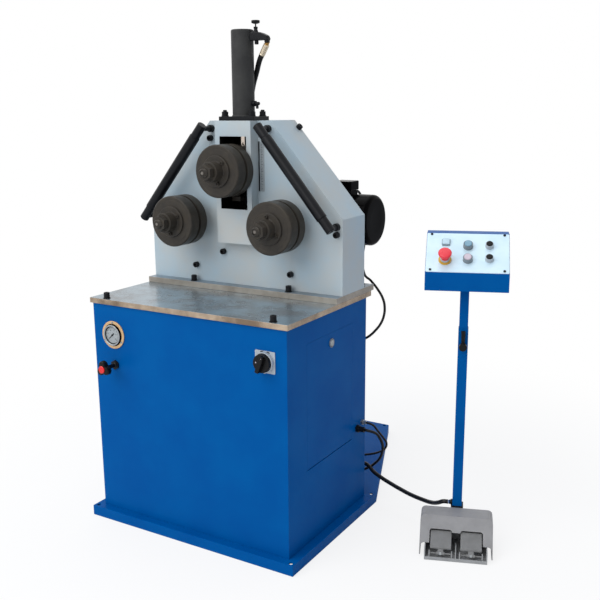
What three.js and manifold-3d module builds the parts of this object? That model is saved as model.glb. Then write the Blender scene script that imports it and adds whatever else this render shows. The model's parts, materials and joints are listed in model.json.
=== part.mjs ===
// Hydraulic ring roller: floor cabinet, head with three rolls, cylinder, drive and control pedestal.
// Millimetres. X runs to the right along the cabinet front, Y to the back and Z up.
// The origin lies on the floor under the middle of the cabinet.
import * as THREE from 'three';
import { mergeVertices } from 'three/addons/utils/BufferGeometryUtils.js';
import Module from 'manifold-3d';

const wasm = await Module();
wasm.setup();

// Fits and facet counts that all pieces share
const fit = 0.3;
const runningFit = 0.4;
const overrun = 2;
const bigSides = 28;
const midSides = 18;
const smallSides = 10;
const screwSides = 8;
const arcSteps = 3;

// Base tray
const trayWidth = 748;
const trayFront = 262;
const trayStraight = 269;
const trayTail = 848;
const tailWidth = 300;
const trayHeight = 32;
const traySheet = 5;
const bearerWidth = 60;
const anchorBore = 13;
const anchorInset = 13;

// Cabinet shell
const cabinetWidth = 692;
const cabinetDepth = 470;
const cabinetHeight = 665;
const cabinetSheet = 3;
const topFlange = 40;

// Side door, its stop frame, hinge and lock
const doorFrontMargin = 104;
const doorBackMargin = 91;
const doorSill = 226;
const doorTopMargin = 63;
const doorSeam = 0.5;
const stopWidth = 12;
const stopOverlap = 10;
const stopDepth = 5;
const hingeRise = 4;
const hingePin = 3;
const hingePinReach = 6;
const earWidth = 9;
const earDepth = 6;
const earHeight = 13;
const lockDrop = 30;
const lockShift = 2.5;
const lockBarrel = 20;
const lockHead = 26;
const lockHeadThickness = 4;
const lockDepth = 9;
const camReach = 40;
const camWidth = 14;
const camThickness = 3;

// Work table and the base plate of the head
const tableWidth = 705;
const tableFront = 241.5;
const tableBack = 257;
const tableThickness = 16;
const headPlateFront = 31;
const headPlateBack = 274;
const headPlateThickness = 18;
const plateBolt = 18;
const plateBoltHeight = 18;
const tableBoltSideInset = 54.5;
const tableBoltInset = 16.5;
const frontBoltSideInset = 174.5;
const rearBoltSideInset = 34.5;
const plateBoltInset = 18;

// Head casing
const headEdge = 0.5;
const headFace = 66.7;
const headDepth = 140.5;
const headShoulder = 224.6;
const headHeight = 502.7;
const headTopWidth = 219;
const facePlate = 12;
const headSheet = 8;
const topPlate = 12;
const backPlate = 10;
const bearingBoss = 90;
const bearingLength = 41;
const rearBossLength = 9;

// Guide of the ram: raised box, window and cheeks
const guideWidth = 128.8;
const guideProud = 37.7;
const guideBottom = 135;
const guideWall = 15;
const windowWidth = 96.6;
const windowBottom = 240.3;
const windowHeight = 216.7;
const cheekWall = 20;
const guideLip = 4.7;
const guideLipWidth = 12;
const cavityBottom = 169;

// Ram with its bottom stop and its pointer
const ramWidth = 112;
const ramDepth = 95.7;
const ramHeight = 130;
const ramBelowAxis = 59.8;
const ramRise = 60;
const ramFall = 70;
const stopStud = 16;
const stopDrop = 26;
const stopLength = 32;
const stopBreadth = 24;
const stopHeight = 14;
const stopShift = 27;
const pointerThickness = 3;
const pointerDepth = 6;
const pointerOffset = 14.3;
const pointerProud = 2;
const armGap = 2;
const slotOffset = 1;
const slotWidth = 5;
const slotMargin = 9;
const scaleGap = 1.1;
const scaleWidth = 15.5;
const scaleThickness = 1;

// Rolls, shafts, clamp flanges and nuts
const rollSpread = 352;
const rollRise = 201.7;
const upperRise = 157.1;
const rollDiameter = 155;
const rollWidth = 81;
const rollGuideGap = 4;
const rollFrontWidth = 38;
const grooveWidth = 10;
const grooveDiameter = 110;
const rollChamfer = 3;
const shaftDiameter = 50;
const shaftCollar = 64;
const collarGap = 2.7;
const journalDiameter = 40;
const clampDiameter = 94;
const clampThickness = 6;
const clampCollar = 59;
const clampCollarLength = 34;
const clampScrew = 10;
const clampScrewHeight = 6;
const clampScrewCircle = 72;
const clampScrewCount = 3;
const nutFlats = 42;
const nutHeight = 20;
const threadDiameter = 26;
const threadEnd = 9;
const threadChamfer = 3;
const shaftEndCover = 3;
const upperShaftInset = 2;
const rightScrewTurn = 90;
const leftScrewTurn = 32;
const upperScrewTurn = 45;

// Gear train inside the head: one pinion drives the gears of both lower shafts
const rollGearTeeth = 29;
const pinionTeeth = 19;
const pinionDrop = 76.7;
const gearWidth = 36;
const gearGap = 3;
const pressureAngle = 20;
const backlash = 1.6;
const addendumShare = 0.8;
const dedendumShare = 1;
const pinionShaft = 40;
const pinionBoss = 68;
const pinionBossLength = 27;
const pinionBearing = 20;
const pinionReach = 90;

// Drive: worm gearbox and motor behind the head
const gearboxWidth = 220;
const gearboxDepth = 165;
const gearboxBelow = 56;
const gearboxAbove = 144;
const gearboxCorner = 28;
const gearboxFlange = 150;
const gearboxFlangeThickness = 8;
const gearboxCover = 120;
const gearboxCoverThickness = 8;
const motorRise = 71;
const motorSetback = 93;
const motorDiameter = 152;
const motorLength = 235;
const motorFlange = 170;
const motorFlangeThickness = 10;
const cowlDiameter = 158;
const cowlLength = 62;
const cowlRound = 14;
const terminalWidth = 64;
const terminalDepth = 60;
const terminalBase = 30;
const terminalLid = 28;
const terminalLidStep = 3;
const terminalPlace = 129;

// Hydraulic cylinder
const barrelDiameter = 67.2;
const barrelBore = 50;
const barrelLength = 250;
const barrelEnd = 16;
const barrelChamfer = 2;
const cylinderSetback = 24.3;
const flangeWidth = 126;
const flangeDepth = 85;
const flangeThickness = 12.3;
const flangeBoltSpread = 98;
const flangeBoltPitch = 57;
const flangeBoltFlats = 18;
const flangeBoltHeight = 11;
const flangeBoltEnd = 5;
const flangeStud = 12;
const washerDiameter = 22;
const washerThickness = 3;
const rodDiameter = 30;
const pistonRise = 202;
const pistonThickness = 30;

// Port block, elbow, hose ends and bleed valve on the cylinder
const portBlockReach = 50;
const portBlockDepth = 22;
const portBlockHeight = 24;
const portBlockSlope = 9;
const portBlockBelowTop = 9;
const portBoss = 12;
const portBossDrop = 11;
const portBossReach = 17;
const elbowWidth = 10;
const elbowDepth = 14;
const elbowRise = 19;
const elbowDrop = 7;
const bleedReach = 14.5;
const bleedCone = 16;
const bleedConeTop = 10;
const bleedConeHeight = 9;
const bleedCollar = 12;
const bleedCollarHeight = 6;
const bleedStem = 4;
const bleedStemReach = 14;
const bleedKnob = 25;
const bleedKnobHeight = 10;
const bleedKnobGap = 2;
const lowerPortRise = 37;
const lowerPortFlats = 16;
const lowerPortLength = 10.5;
const lowerNose = 10;
const lowerNoseLength = 13;
const lowerStub = 8;
const lowerStubDrop = 15;
const ferruleDiameter = 19;
const ferruleShift = [6.4, 2, -36];
const ferruleRun = [-29.81, 10.93, -37.06];
const hoseGland = [-18, 158];
const hoseGlandFlats = 24;
const hoseGlandHexHeight = 9;
const hoseGlandNeck = 20;
const hoseGlandNeckHeight = 7;

// Guard bars beside the upper roll: their ends lie inside the corners of the head's outline
const barStandoff = 54.2;
const barTopInset = [11.4, 12.1];
const barFootInset = [8.3, 29.1];
const barDiameter = 28;
const barSleeve = 32;
const barTopPlug = 46;
const barFootPlug = 46;
const barPost = 15;
const barBoss = 22;
const barBossLength = 14;
const barPostInset = 12;
const barPostShift = -3;

// Cap screws on the face of the head: two pairs near its corners, and two pairs under the rolls
// as places across the width and above the head plate
const capScrew = 18;
const capScrewHeight = 12;
const crownScrewInset = [2.5, 52.7];
const sideScrewInset = [18, 44.6];
const lowScrewPlaces = [[69, 101], [177, 50]];

// Pressure gauge, relief valve and main switch on the cabinet front
const gaugeInset = [77, 92.4];
const gaugeFlange = 86;
const gaugeFlangeThickness = 4;
const gaugeBody = 62;
const gaugeBodyDepth = 34;
const gaugeBezel = 64;
const gaugeBezelDepth = 7;
const gaugeRecess = 53;
const gaugeRecessDepth = 5;
const needleLength = 19;
const needleTail = 9;
const needleWidth = 2.4;
const needleHub = 6;
const needleThickness = 1.2;
const needlePin = 2;
const needleZeroTurn = 222;
const valveInset = [78, 186.5];
const valveBase = 26;
const valveBaseDepth = 6;
const valveNeck = 12;
const valveNeckDepth = 34;
const valveShank = 20;
const valveShankDepth = 30;
const valveStem = 7;
const valveStemReach = 20;
const valveKnobRadius = 25;
const valveKnobDepth = 20;
const valveLobes = 3;
const valveLobeShare = 0.34;
const valveKnobSteps = 30;
const valveCap = 20;
const valveCapDepth = 3;
const valveTurn = 100;
const switchInset = [68.5, 96];
const switchPlateWidth = 64;
const switchPlateHeight = 62;
const switchPlateThickness = 3;
const switchCollar = 56;
const switchCollarDepth = 6;
const switchBodySide = 48;
const switchBodyDepth = 52;
const switchNeck = 30;
const switchBore = 8;
const switchKnob = 52;
const switchKnobDepth = 6;
const switchGripHeight = 13;
const switchGripWidth = 13;
const switchGripLength = 31;
const switchTurn = 20;
const switchStemReach = 18;

// Power pack inside the cabinet
const tankWidth = 330;
const tankDepth = 280;
const tankHeight = 190;
const tankShift = 110;
const tankLidStep = 8;
const tankLidThickness = 6;
const pumpMotorDiameter = 140;
const pumpMotorHeight = 210;
const pumpMotorShift = 45;
const pumpBell = 110;
const pumpBellHeight = 50;
const valveBlockSide = 80;
const valveBlockHeight = 110;
const valveBlockShift = 185;
const fillerCap = 44;
const fillerCapHeight = 30;
const fillerPlace = [210, -90];

// Control pedestal: where it stands and its turn about the pole
const pedestalPlace = [680, 189];
const pedestalTurn = 20;
const poleSide = 28;
const poleWall = 1.2;
const poleTop = 652;
const slideWall = 1.5;
const slideInside = 230;
const boxRise = 118.5;
const slideIntoBox = 18;
const clampBoss = 18;
const clampBossDepth = 6;
const clampRise = 601;
const clampHub = 23;
const clampHubDepth = 16;
const clampStem = 8;
const leverRise = 46;
const leverWidth = 9;
const leverTipWidth = 12;
const leverDepth = 7;

// Control box, its sloped panel and what is on it
const boxWidth = 230;
const boxShift = 3.5;
const boxFront = 65;
const boxFrontHeight = 51.5;
const boxTopDepth = 50;
const boxSheet = 2;
const panelTilt = 42.4;
const panelLength = 142.5;
const panelThickness = 2.5;
const panelMargin = 1;
const panelOpeningMargin = 12;
const panelScrew = 7;
const panelScrewHeight = 2;
const panelScrewSide = 14;
const panelScrewEnd = 8;
const contactBlock = 20;
const contactBlockDepth = 34;
const lensPlaces = [[1, 92], [1, 44.7]];
const lensBezel = 26;
const lensBezelHeight = 14;
const lensCap = 19;
const pushPlaces = [[59.5, 94], [59.5, 47.7]];
const pushBezel = 22;
const pushBezelHeight = 13;
const pushCap = 17;
const capProud = 2.5;
const capDepth = 12;
const capTravel = 3;
const lampPlace = [-60.5, 105];
const lampBezel = 23;
const lampLens = 18;
const lampHeight = 13;
const stopPlace = [-61.5, 43];
const stopRing = 35;
const stopRingHeight = 3;
const stopCollar = 24;
const stopCollarHeight = 11;
const stopHead = 36;
const stopHeadHeight = 9;
const stopHeadRise = 21;
const stopNeck = 26;
const stopButtonStem = 15;
const stopTravel = 4;

// Foot unit: tray, cover with pedal openings and two pedals
const footFront = 160;
const footWidth = 178;
const footLength = 186;
const footSheet = 3;
const footWallHeight = 32;
const footWallLength = 131;
const footBackHeight = 60;
const footLipHeight = 10;
const footRibHeight = 30;
const footRibLength = 60;
const socketSide = 36;
const socketHeight = 99;
const coverWidth = 208;
const coverSheet = 3;
const coverBack = 138;
const coverTop = 101;
const coverCrease = 80;
const coverStripPlace = [30, 38];
const coverTip = [14, 8];
const coverRound = 13;
const openingTop = 70;
const openingInner = 12;
const openingOuter = 76;
const openingRound = 6;
const tongueBottom = 64;
const wingRound = 10;
const pedalMiddle = 43;
const pedalWidth = 60;
const pedalPlate = 4;
const pedalHinge = [8, 19];
const pedalKnuckle = 9;
const pedalLip = [3, 27];
const pedalTop = [60, 64.3];
const pedalPin = 4;
const pedalPinReach = 3;
const pedalEarThickness = 3;
const pedalEarWidth = 10;
const pedalEarHeight = 23;
const pedalTongueWidth = 20;
const pedalTongueReach = 36;
const switchBoxLength = 43;
const switchBoxWidth = 46;
const switchBoxHeight = 30;
const switchBoxPlace = 75;
const plungerDiameter = 8;
const plungerHeight = 6;

// Cable glands: width over the flats, length of the hexagon, neck diameter and neck length
const glandSmall = [18, 6, 15, 10];
const glandLarge = [24, 7, 20, 12];
const glandSide = [22, 8, 18, 18];
const glandSilver = [15, 6, 12, 10];
const glandTiny = [15, 4, 12, 8];
const glandRoot = 1;
const motorGlandPlace = [255, 1010];
const motorEntry = [323, 550];
const thinEntry = [306, 150];
const thickEntry = [306, 92];
const conduitEntry = [318, 125];
const thinOutletPlace = [24, 294];
const thickOutletPlace = [57, 283];
const conduitPoleRise = 108;
const sideSocket = 10;
const sideSocketDepth = 10;

// Cords that hang free, as routes through hand-picked points
const cordSides = 8;
const cordStepShare = 2.9;
const hoseDiameter = 16;
const hoseRoute = [
  [59.9, 104.04, 1422.58], [51.4, 107.15, 1412], [26, 126, 1375.6], [2, 141, 1335.6],
  [-14, 153, 1295], [-18, 158, 1266], [-18, 158, 1250],
];
const motorCableDiameter = 8;
const motorCableRoute = [
  [255, 339.6, 1010], [255, 352, 1009.5], [258, 371, 988], [268, 385, 900], [275.5, 362, 742],
  [308, 346, 724], [341, 331, 700], [364.5, 318, 676], [375, 308, 656], [378.6, 297, 629],
  [373, 285, 603], [359, 276, 581], [342, 272, 563], [328, 268, 553], [323, 260, 550],
  [323, 251.3, 550],
];
const thinCableDiameter = 7;
const thinCableRoute = [
  [363.3, 211, 294], [371, 211, 294], [380, 224, 285], [388, 245, 259.5], [400, 262, 232],
  [405, 275, 211], [393.5, 285, 184.6], [373, 288, 169], [352, 287, 159], [330, 282, 153],
  [311, 273, 150.5], [306, 261, 150], [306, 251.3, 150],
];
const thickCableDiameter = 9;
const thickCableRoute = [
  [373.3, 178, 283], [383, 178, 283], [394, 188, 278], [403, 203, 267.5], [409, 216, 249],
  [411, 232, 221], [403, 248, 190], [386, 266, 158], [364, 280, 132], [341, 287, 111],
  [320, 284, 98], [308, 274, 93], [306, 262, 92], [306, 251.3, 92],
];
const conduitDiameter = 13;
const conduitRoute = [
  [318, 254.3, 125], [318, 268, 125], [328, 276, 123.5], [345, 273, 118], [365, 264, 108],
  [392, 256, 99.5], [432, 248, 89], [471, 240, 81], [510, 230, 76], [556, 216, 76],
  [598, 196, 84], [625, 180, 98], [642, 175.2, 108], [655.15, 179.95, 108],
];

// Places that follow from the sizes above
const cabinetTop = trayHeight + cabinetHeight;
const cabinetSide = cabinetWidth / 2;
const cabinetFront = -cabinetDepth / 2;
const cabinetBack = cabinetDepth / 2;
const sillHeight = trayHeight + doorSill;
const doorFront = cabinetFront + doorFrontMargin;
const doorBack = cabinetBack - doorBackMargin;
const hingeHeight = sillHeight + hingeRise;
const hingeSide = cabinetSide - cabinetSheet;
const doorTop = cabinetTop - doorTopMargin;
const lockHeight = doorTop - lockDrop;
const lockMiddle = (doorFront + doorBack) / 2 + lockShift;
const gaugePlace = [gaugeInset[0] - cabinetSide, cabinetTop - gaugeInset[1]];
const valvePlace = [valveInset[0] - cabinetSide, cabinetTop - valveInset[1]];
const switchPlace = [cabinetSide - switchInset[0], cabinetTop - switchInset[1]];
const tableTop = cabinetTop + tableThickness;
const thinOutlet = [cabinetBack - thinOutletPlace[0], thinOutletPlace[1]];
const thickOutlet = [cabinetBack - thickOutletPlace[0], thickOutletPlace[1]];
const headWidth = tableWidth - 2 * headEdge;
const headFloor = tableTop + headPlateThickness;
const headTop = headFloor + headHeight;
const shoulderHeight = headFloor + headShoulder;
const headBack = headFace + headDepth;
const guideFace = headFace - guideProud;
const ramFront = guideFace + guideWall + fit;
const ramBack = ramFront + ramDepth;
const lowerAxis = headFloor + rollRise;
const upperAxis = lowerAxis + upperRise;
const ramBottom = upperAxis - ramBelowAxis;
const ramTop = ramBottom + ramHeight;
const pointerHeight = upperAxis + pointerOffset;
const slotSpan = [pointerHeight - ramFall - slotMargin, pointerHeight + ramRise + slotMargin];
const pinionAxis = lowerAxis - pinionDrop;
const gearModule = 2 * Math.hypot(rollSpread / 2, pinionDrop) / (rollGearTeeth + pinionTeeth);
const rollBack = guideFace - rollGuideGap;
const rollFront = rollBack - rollWidth;
const clampFace = rollFront - fit - clampThickness;
const clampFront = clampFace - clampCollarLength;
const gearFront = ramBack + fit + guideLip + gearGap;
const gearBack = gearFront + gearWidth;
const backPlateFront = headBack - backPlate;
const cylinderAxis = headFace + cylinderSetback;
const flangeTop = headTop + flangeThickness;
const barrelTop = flangeTop + barrelLength;
const ferruleTop = [
  barrelDiameter / 2 + portBlockReach + ferruleShift[0], cylinderAxis + ferruleShift[1],
  barrelTop + ferruleShift[2],
];
const ferruleFoot = ferruleTop.map((place, i) => place + ferruleRun[i]);
const motorAxis = pinionAxis + motorRise;
const motorMiddle = headBack + motorSetback;
const motorEnd = gearboxWidth / 2 + motorLength;
const boxFloor = poleTop + boxRise;

// Angles in degrees become radians here
function radians(degrees) {
  return THREE.MathUtils.degToRad(degrees);
}

// Keep only positions, merge shared corners, drop collapsed triangles and turn the faces outward
function closed(geometry) {
  const bare = geometry.clone();
  bare.deleteAttribute('normal');
  bare.deleteAttribute('uv');
  const merged = mergeVertices(bare);
  const place = merged.getAttribute('position');
  const index = merged.getIndex();
  const corners = [new THREE.Vector3(), new THREE.Vector3(), new THREE.Vector3()];
  const kept = [];
  let volume = 0;
  for (let i = 0; i < index.count; i += 3) {
    const triangle = [index.getX(i), index.getX(i + 1), index.getX(i + 2)];
    if (new Set(triangle).size < 3) continue;
    corners.forEach((corner, k) => corner.fromBufferAttribute(place, triangle[k]));
    volume += corners[0].dot(corners[1].clone().cross(corners[2]));
    kept.push(triangle);
  }
  if (volume < 0) kept.forEach((triangle) => triangle.reverse());
  merged.setIndex(kept.flat());
  return merged;
}

// Booleans: a closed geometry becomes a solid, and the result becomes a geometry again
function toSolid(geometry) {
  const body = closed(geometry);
  return new wasm.Manifold(new wasm.Mesh({
    numProp: 3,
    vertProperties: new Float32Array(body.getAttribute('position').array),
    triVerts: new Uint32Array(body.getIndex().array),
  }));
}

function toGeometry(solid) {
  const { vertProperties, triVerts } = solid.getMesh();
  const geometry = new THREE.BufferGeometry();
  geometry.setAttribute('position', new THREE.Float32BufferAttribute(vertProperties, 3));
  geometry.setIndex(Array.from(triVerts));
  return geometry;
}

function joined(...geometries) {
  return toGeometry(geometries.map(toSolid).reduce((all, next) => all.add(next)));
}

function cut(base, ...tools) {
  return toGeometry(tools.map(toSolid).reduce((left, tool) => left.subtract(tool), toSolid(base)));
}

function shared(first, second) {
  return toGeometry(toSolid(first).intersect(toSolid(second)));
}

// Move a body in the plane square to an axis
function shifted(geometry, axis, [first, second]) {
  if (axis === 'x') return geometry.translate(0, first, second);
  if (axis === 'y') return geometry.translate(first, 0, second);
  return geometry.translate(first, second, 0);
}

// A block given by its reach along each axis
function block([left, right], [front, back], [bottom, top]) {
  const body = new THREE.BoxGeometry(right - left, back - front, top - bottom);
  return body.translate((left + right) / 2, (front + back) / 2, (bottom + top) / 2);
}

// A body of revolution: points hold a radius and a station along the axis
function turned(points, axis, sides, centre = [0, 0]) {
  const profile = points.map(([radius, station]) => new THREE.Vector2(radius, station));
  const body = new THREE.LatheGeometry(profile, sides);
  if (axis === 'z') body.rotateX(Math.PI / 2);
  if (axis === 'x') body.rotateZ(-Math.PI / 2);
  return closed(shifted(body, axis, centre));
}

function rod(diameter, axis, from, to, centre = [0, 0], sides = midSides) {
  const radius = diameter / 2;
  return turned([[0, from], [radius, from], [radius, to], [0, to]], axis, sides, centre);
}

function ring(points, axis, sides, centre = [0, 0]) {
  return turned([...points, points[0]], axis, sides, centre);
}

// A prism: the outline's two coordinates lie in the plane square to the axis
function prism(outline, axis, from, to, holes = []) {
  const shape = new THREE.Shape(outline.map(([a, b]) => new THREE.Vector2(a, b)));
  holes.forEach((hole) => {
    shape.holes.push(new THREE.Path(hole.map(([a, b]) => new THREE.Vector2(a, b))));
  });
  const body = new THREE.ExtrudeGeometry(shape, { depth: to - from, bevelEnabled: false });
  if (axis === 'z') return closed(body.translate(0, 0, from));
  body.rotateX(Math.PI / 2);
  if (axis === 'y') return closed(body.translate(0, to, 0));
  body.rotateZ(Math.PI / 2);
  return closed(body.translate(from, 0, 0));
}

// Outlines
function circle(diameter, sides, [a, b] = [0, 0], turn = 0) {
  return Array.from({ length: sides }, (unused, i) => {
    const angle = turn + 2 * Math.PI * i / sides;
    return [a + diameter / 2 * Math.cos(angle), b + diameter / 2 * Math.sin(angle)];
  });
}

function hexagon(flats, centre) {
  return circle(flats / Math.cos(Math.PI / 6), 6, centre, Math.PI / 6);
}

// A rectangle whose corner radii start at the lower left and go round anticlockwise
function rounded([left, right], [bottom, top], radii) {
  const corners = [[left, bottom, 1, 1], [right, bottom, -1, 1], [right, top, -1, -1], [left, top, 1, -1]];
  return corners.flatMap(([a, b, toMiddleA, toMiddleB], i) => {
    const radius = radii[i];
    if (radius === 0) return [[a, b]];
    return Array.from({ length: arcSteps + 1 }, (unused, k) => {
      const angle = Math.PI * (1 + i / 2 + k / arcSteps / 2);
      return [
        a + toMiddleA * radius + radius * Math.cos(angle),
        b + toMiddleB * radius + radius * Math.sin(angle),
      ];
    });
  });
}

// Move every edge of an anticlockwise outline inward
function shrunk(outline, distance) {
  const heading = ([a, b], [c, d]) => {
    const length = Math.hypot(c - a, d - b);
    return [(c - a) / length, (d - b) / length];
  };
  return outline.map((corner, i) => {
    const [ua, ub] = heading(outline.at(i - 1), corner);
    const [va, vb] = heading(corner, outline[(i + 1) % outline.length]);
    const spread = distance / (1 + ua * va + ub * vb);
    return [corner[0] - (ub + vb) * spread, corner[1] + (ua + va) * spread];
  });
}

// A straight turned body from one point towards another
function along(from, to, geometry) {
  const start = new THREE.Vector3(...from);
  const heading = new THREE.Vector3(...to).sub(start).normalize();
  const turn = new THREE.Quaternion().setFromUnitVectors(new THREE.Vector3(0, 0, 1), heading);
  return geometry.applyQuaternion(turn).translate(...from);
}

function distance(from, to) {
  return new THREE.Vector3(...from).distanceTo(new THREE.Vector3(...to));
}

// A cord: a round section carried along its route
function cord(route, diameter) {
  const path = new THREE.CatmullRomCurve3(route.map((point) => new THREE.Vector3(...point)));
  const section = new THREE.Shape(circle(diameter, cordSides).map(([a, b]) => new THREE.Vector2(a, b)));
  const steps = Math.round(path.getLength() / (diameter * cordStepShare));
  return closed(new THREE.ExtrudeGeometry(section, { steps, extrudePath: path, bevelEnabled: false }));
}

// A cable gland: its hexagon starts at the base station and its neck runs on along the axis
function gland([flats, hexLength, neck, neckLength], axis, base, centre, heading = 1) {
  const span = (from, to) => [base + heading * from, base + heading * to].sort((a, b) => a - b);
  return joined(
    prism(hexagon(flats, centre), axis, ...span(-glandRoot, hexLength)),
    rod(neck, axis, ...span(hexLength / 2, hexLength + neckLength), centre, screwSides),
  );
}

function finish(color, roughness, metalness) {
  return new THREE.MeshStandardMaterial({ color, roughness, metalness });
}

const bluePaint = finish(0x0058a8, 0.45, 0.1);
const greyPaint = finish(0xb0bcc4, 0.5, 0.1);
const blackPaint = finish(0x1b1c1e, 0.5, 0.1);
const blackOxide = finish(0x2e2d2a, 0.45, 0.7);
const bareSteel = finish(0x8b8780, 0.4, 0.9);
const chrome = finish(0xd8dcdf, 0.12, 1);
const zinc = finish(0xb9bcbd, 0.35, 0.9);
const castGrey = finish(0x4a4e52, 0.6, 0.4);
const brass = finish(0xd9b98a, 0.4, 0.6);
const silverPlastic = finish(0xc3c8cb, 0.45, 0.2);
const blackPlastic = finish(0x18181a, 0.5, 0);
const rubber = finish(0x151515, 0.85, 0);
const footGrey = finish(0x8e9090, 0.6, 0.1);
const panelGrey = finish(0xd9e6ec, 0.4, 0.3);
const redPlastic = finish(0xe02430, 0.4, 0);
const blueLens = finish(0x8fb8cc, 0.3, 0);
const whiteLens = finish(0xdcd2e0, 0.3, 0);

function trayOutline() {
  const side = trayWidth / 2;
  const tail = tailWidth / 2;
  return [
    [-side, -trayFront], [side, -trayFront], [side, trayStraight],
    [tail, trayTail], [-tail, trayTail], [-side, trayStraight],
  ];
}

// Shallow tray with a tapered tail, and an inverted T bearer under its middle
function baseFrame() {
  const outline = trayOutline();
  const tray = cut(
    prism(outline, 'z', 0, trayHeight),
    prism(shrunk(outline, traySheet), 'z', -overrun, trayHeight - traySheet),
  );
  const reach = [-trayFront + traySheet / 2, trayTail - traySheet / 2];
  const strip = block([-bearerWidth / 2, bearerWidth / 2], reach, [0, traySheet]);
  const web = block([-traySheet / 2, traySheet / 2], reach, [traySheet / 2, trayHeight - traySheet / 2]);
  const rows = [
    [trayWidth / 2 - anchorInset, -trayFront + anchorInset],
    [trayWidth / 2 - anchorInset, trayStraight - anchorInset],
    [tailWidth / 2 - anchorInset, trayTail - anchorInset],
  ];
  const bores = rows.flatMap(([side, place]) => [-side, side].map((x) => (
    rod(anchorBore, 'z', trayHeight - traySheet - overrun, trayHeight + overrun, [x, place], screwSides)
  )));
  return cut(joined(tray, strip, web), ...bores);
}

// Bent sheet shell with a flanged top, a door opening and the holes of the front fittings
function cabinetShell() {
  const inner = cabinetSide - cabinetSheet;
  const innerBack = cabinetBack - cabinetSheet;
  const shell = cut(
    block([-cabinetSide, cabinetSide], [cabinetFront, cabinetBack], [trayHeight, cabinetTop]),
    block([-inner, inner], [-innerBack, innerBack], [trayHeight - overrun, cabinetTop - cabinetSheet]),
    block(
      [-inner + topFlange, inner - topFlange],
      [-innerBack + topFlange, innerBack - topFlange],
      [cabinetTop - cabinetSheet - overrun, cabinetTop + overrun],
    ),
  );
  const stopX = [inner - stopDepth, inner + cabinetSheet / 2];
  const stopBottom = hingeHeight + earHeight;
  const stops = [
    block(stopX, [doorFront - stopWidth, doorBack + stopWidth], [doorTop - stopOverlap, doorTop + stopWidth]),
    block(stopX, [doorFront - stopWidth, doorFront + stopOverlap], [stopBottom, doorTop + stopWidth]),
    block(stopX, [doorBack - stopOverlap, doorBack + stopWidth], [stopBottom, doorTop + stopWidth]),
  ];
  const ears = [[doorFront - earWidth, doorFront], [doorBack, doorBack + earWidth]].map((reach) => (
    block(
      [inner - earDepth, inner + cabinetSheet / 2],
      reach,
      [hingeHeight - earHeight / 2, hingeHeight + earHeight / 2],
    )
  ));
  const opening = block(
    [inner - fit, cabinetSide + overrun],
    [doorFront, doorBack],
    [sillHeight, doorTop],
  );
  const pinBore = rod(
    hingePin + 2 * fit, 'y', doorFront - hingePinReach - fit, doorBack + hingePinReach + fit,
    [hingeSide, hingeHeight], smallSides,
  );
  const through = [cabinetFront - overrun, cabinetFront + cabinetSheet + overrun];
  const holes = [
    rod(gaugeBody + 2 * fit, 'y', ...through, gaugePlace),
    rod(valveShank + 2 * fit, 'y', ...through, valvePlace),
    rod(switchNeck + 2 * fit, 'y', ...through, switchPlace),
  ];
  const glands = [
    gland(glandSmall, 'y', cabinetBack, motorEntry),
    gland(glandSmall, 'y', cabinetBack, thinEntry),
    gland(glandSmall, 'y', cabinetBack, thickEntry),
    gland(glandLarge, 'y', cabinetBack, conduitEntry),
  ];
  const sockets = [
    rod(sideSocket + 2 * fit, 'x', inner - overrun, cabinetSide + overrun, thickOutlet, smallSides),
    rod(sideSocket + 2 * fit, 'x', inner - overrun, cabinetSide + overrun, thinOutlet, smallSides),
  ];
  return cut(joined(shell, ...stops, ...ears, ...glands), opening, pinBore, ...holes, ...sockets);
}

// A side outlet: a gland whose threaded end goes through the sheet
function sideOutlet(kind, centre) {
  return joined(
    gland(kind, 'x', cabinetSide + glandRoot, centre),
    rod(sideSocket, 'x', cabinetSide - sideSocketDepth, cabinetSide + overrun, centre, smallSides),
  );
}

// Door leaf with a rolled lower edge whose pins turn in the ears of the shell
function sideDoor() {
  const front = doorFront + doorSeam;
  const back = doorBack - doorSeam;
  const rolled = 2 * cabinetSheet;
  const leaf = joined(
    block([hingeSide, cabinetSide], [front, back], [hingeHeight, doorTop - doorSeam]),
    rod(rolled, 'y', front, back, [hingeSide, hingeHeight], smallSides),
    rod(
      hingePin, 'y', doorFront - hingePinReach, doorBack + hingePinReach,
      [hingeSide, hingeHeight], smallSides,
    ),
  );
  return cut(leaf, rod(
    lockBarrel + 2 * runningFit, 'x', hingeSide - overrun, cabinetSide + overrun, [lockMiddle, lockHeight],
  ));
}

// Quarter-turn lock, its cam lying sideways while the door is free
function doorLock() {
  const camFront = hingeSide - lockDepth;
  return joined(
    rod(lockHead, 'x', cabinetSide + fit, cabinetSide + lockHeadThickness, [lockMiddle, lockHeight]),
    rod(lockBarrel, 'x', camFront, cabinetSide + lockHeadThickness / 2, [lockMiddle, lockHeight]),
    block(
      [camFront, camFront + camThickness],
      [lockMiddle, lockMiddle + camReach],
      [lockHeight - camWidth / 2, lockHeight + camWidth / 2],
    ),
  );
}

// Heads of cap screws on both sides of a plate, their washers counted in, the shanks running into it
function boltPair(side, place, base) {
  return [-side, side].map((x) => (
    rod(plateBolt, 'z', base - overrun, base + plateBoltHeight, [x, place], screwSides)
  ));
}

function tablePlate() {
  return joined(
    block([-tableWidth / 2, tableWidth / 2], [-tableFront, tableBack], [cabinetTop, tableTop]),
    ...boltPair(tableWidth / 2 - tableBoltSideInset, -tableFront + tableBoltInset, tableTop),
  );
}

function headBasePlate() {
  return joined(
    block([-tableWidth / 2, tableWidth / 2], [headPlateFront, headPlateBack], [tableTop, headFloor]),
    ...boltPair(tableWidth / 2 - frontBoltSideInset, headPlateFront + plateBoltInset, headFloor),
    ...boltPair(tableWidth / 2 - rearBoltSideInset, headPlateBack - plateBoltInset, headFloor),
  );
}

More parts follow.
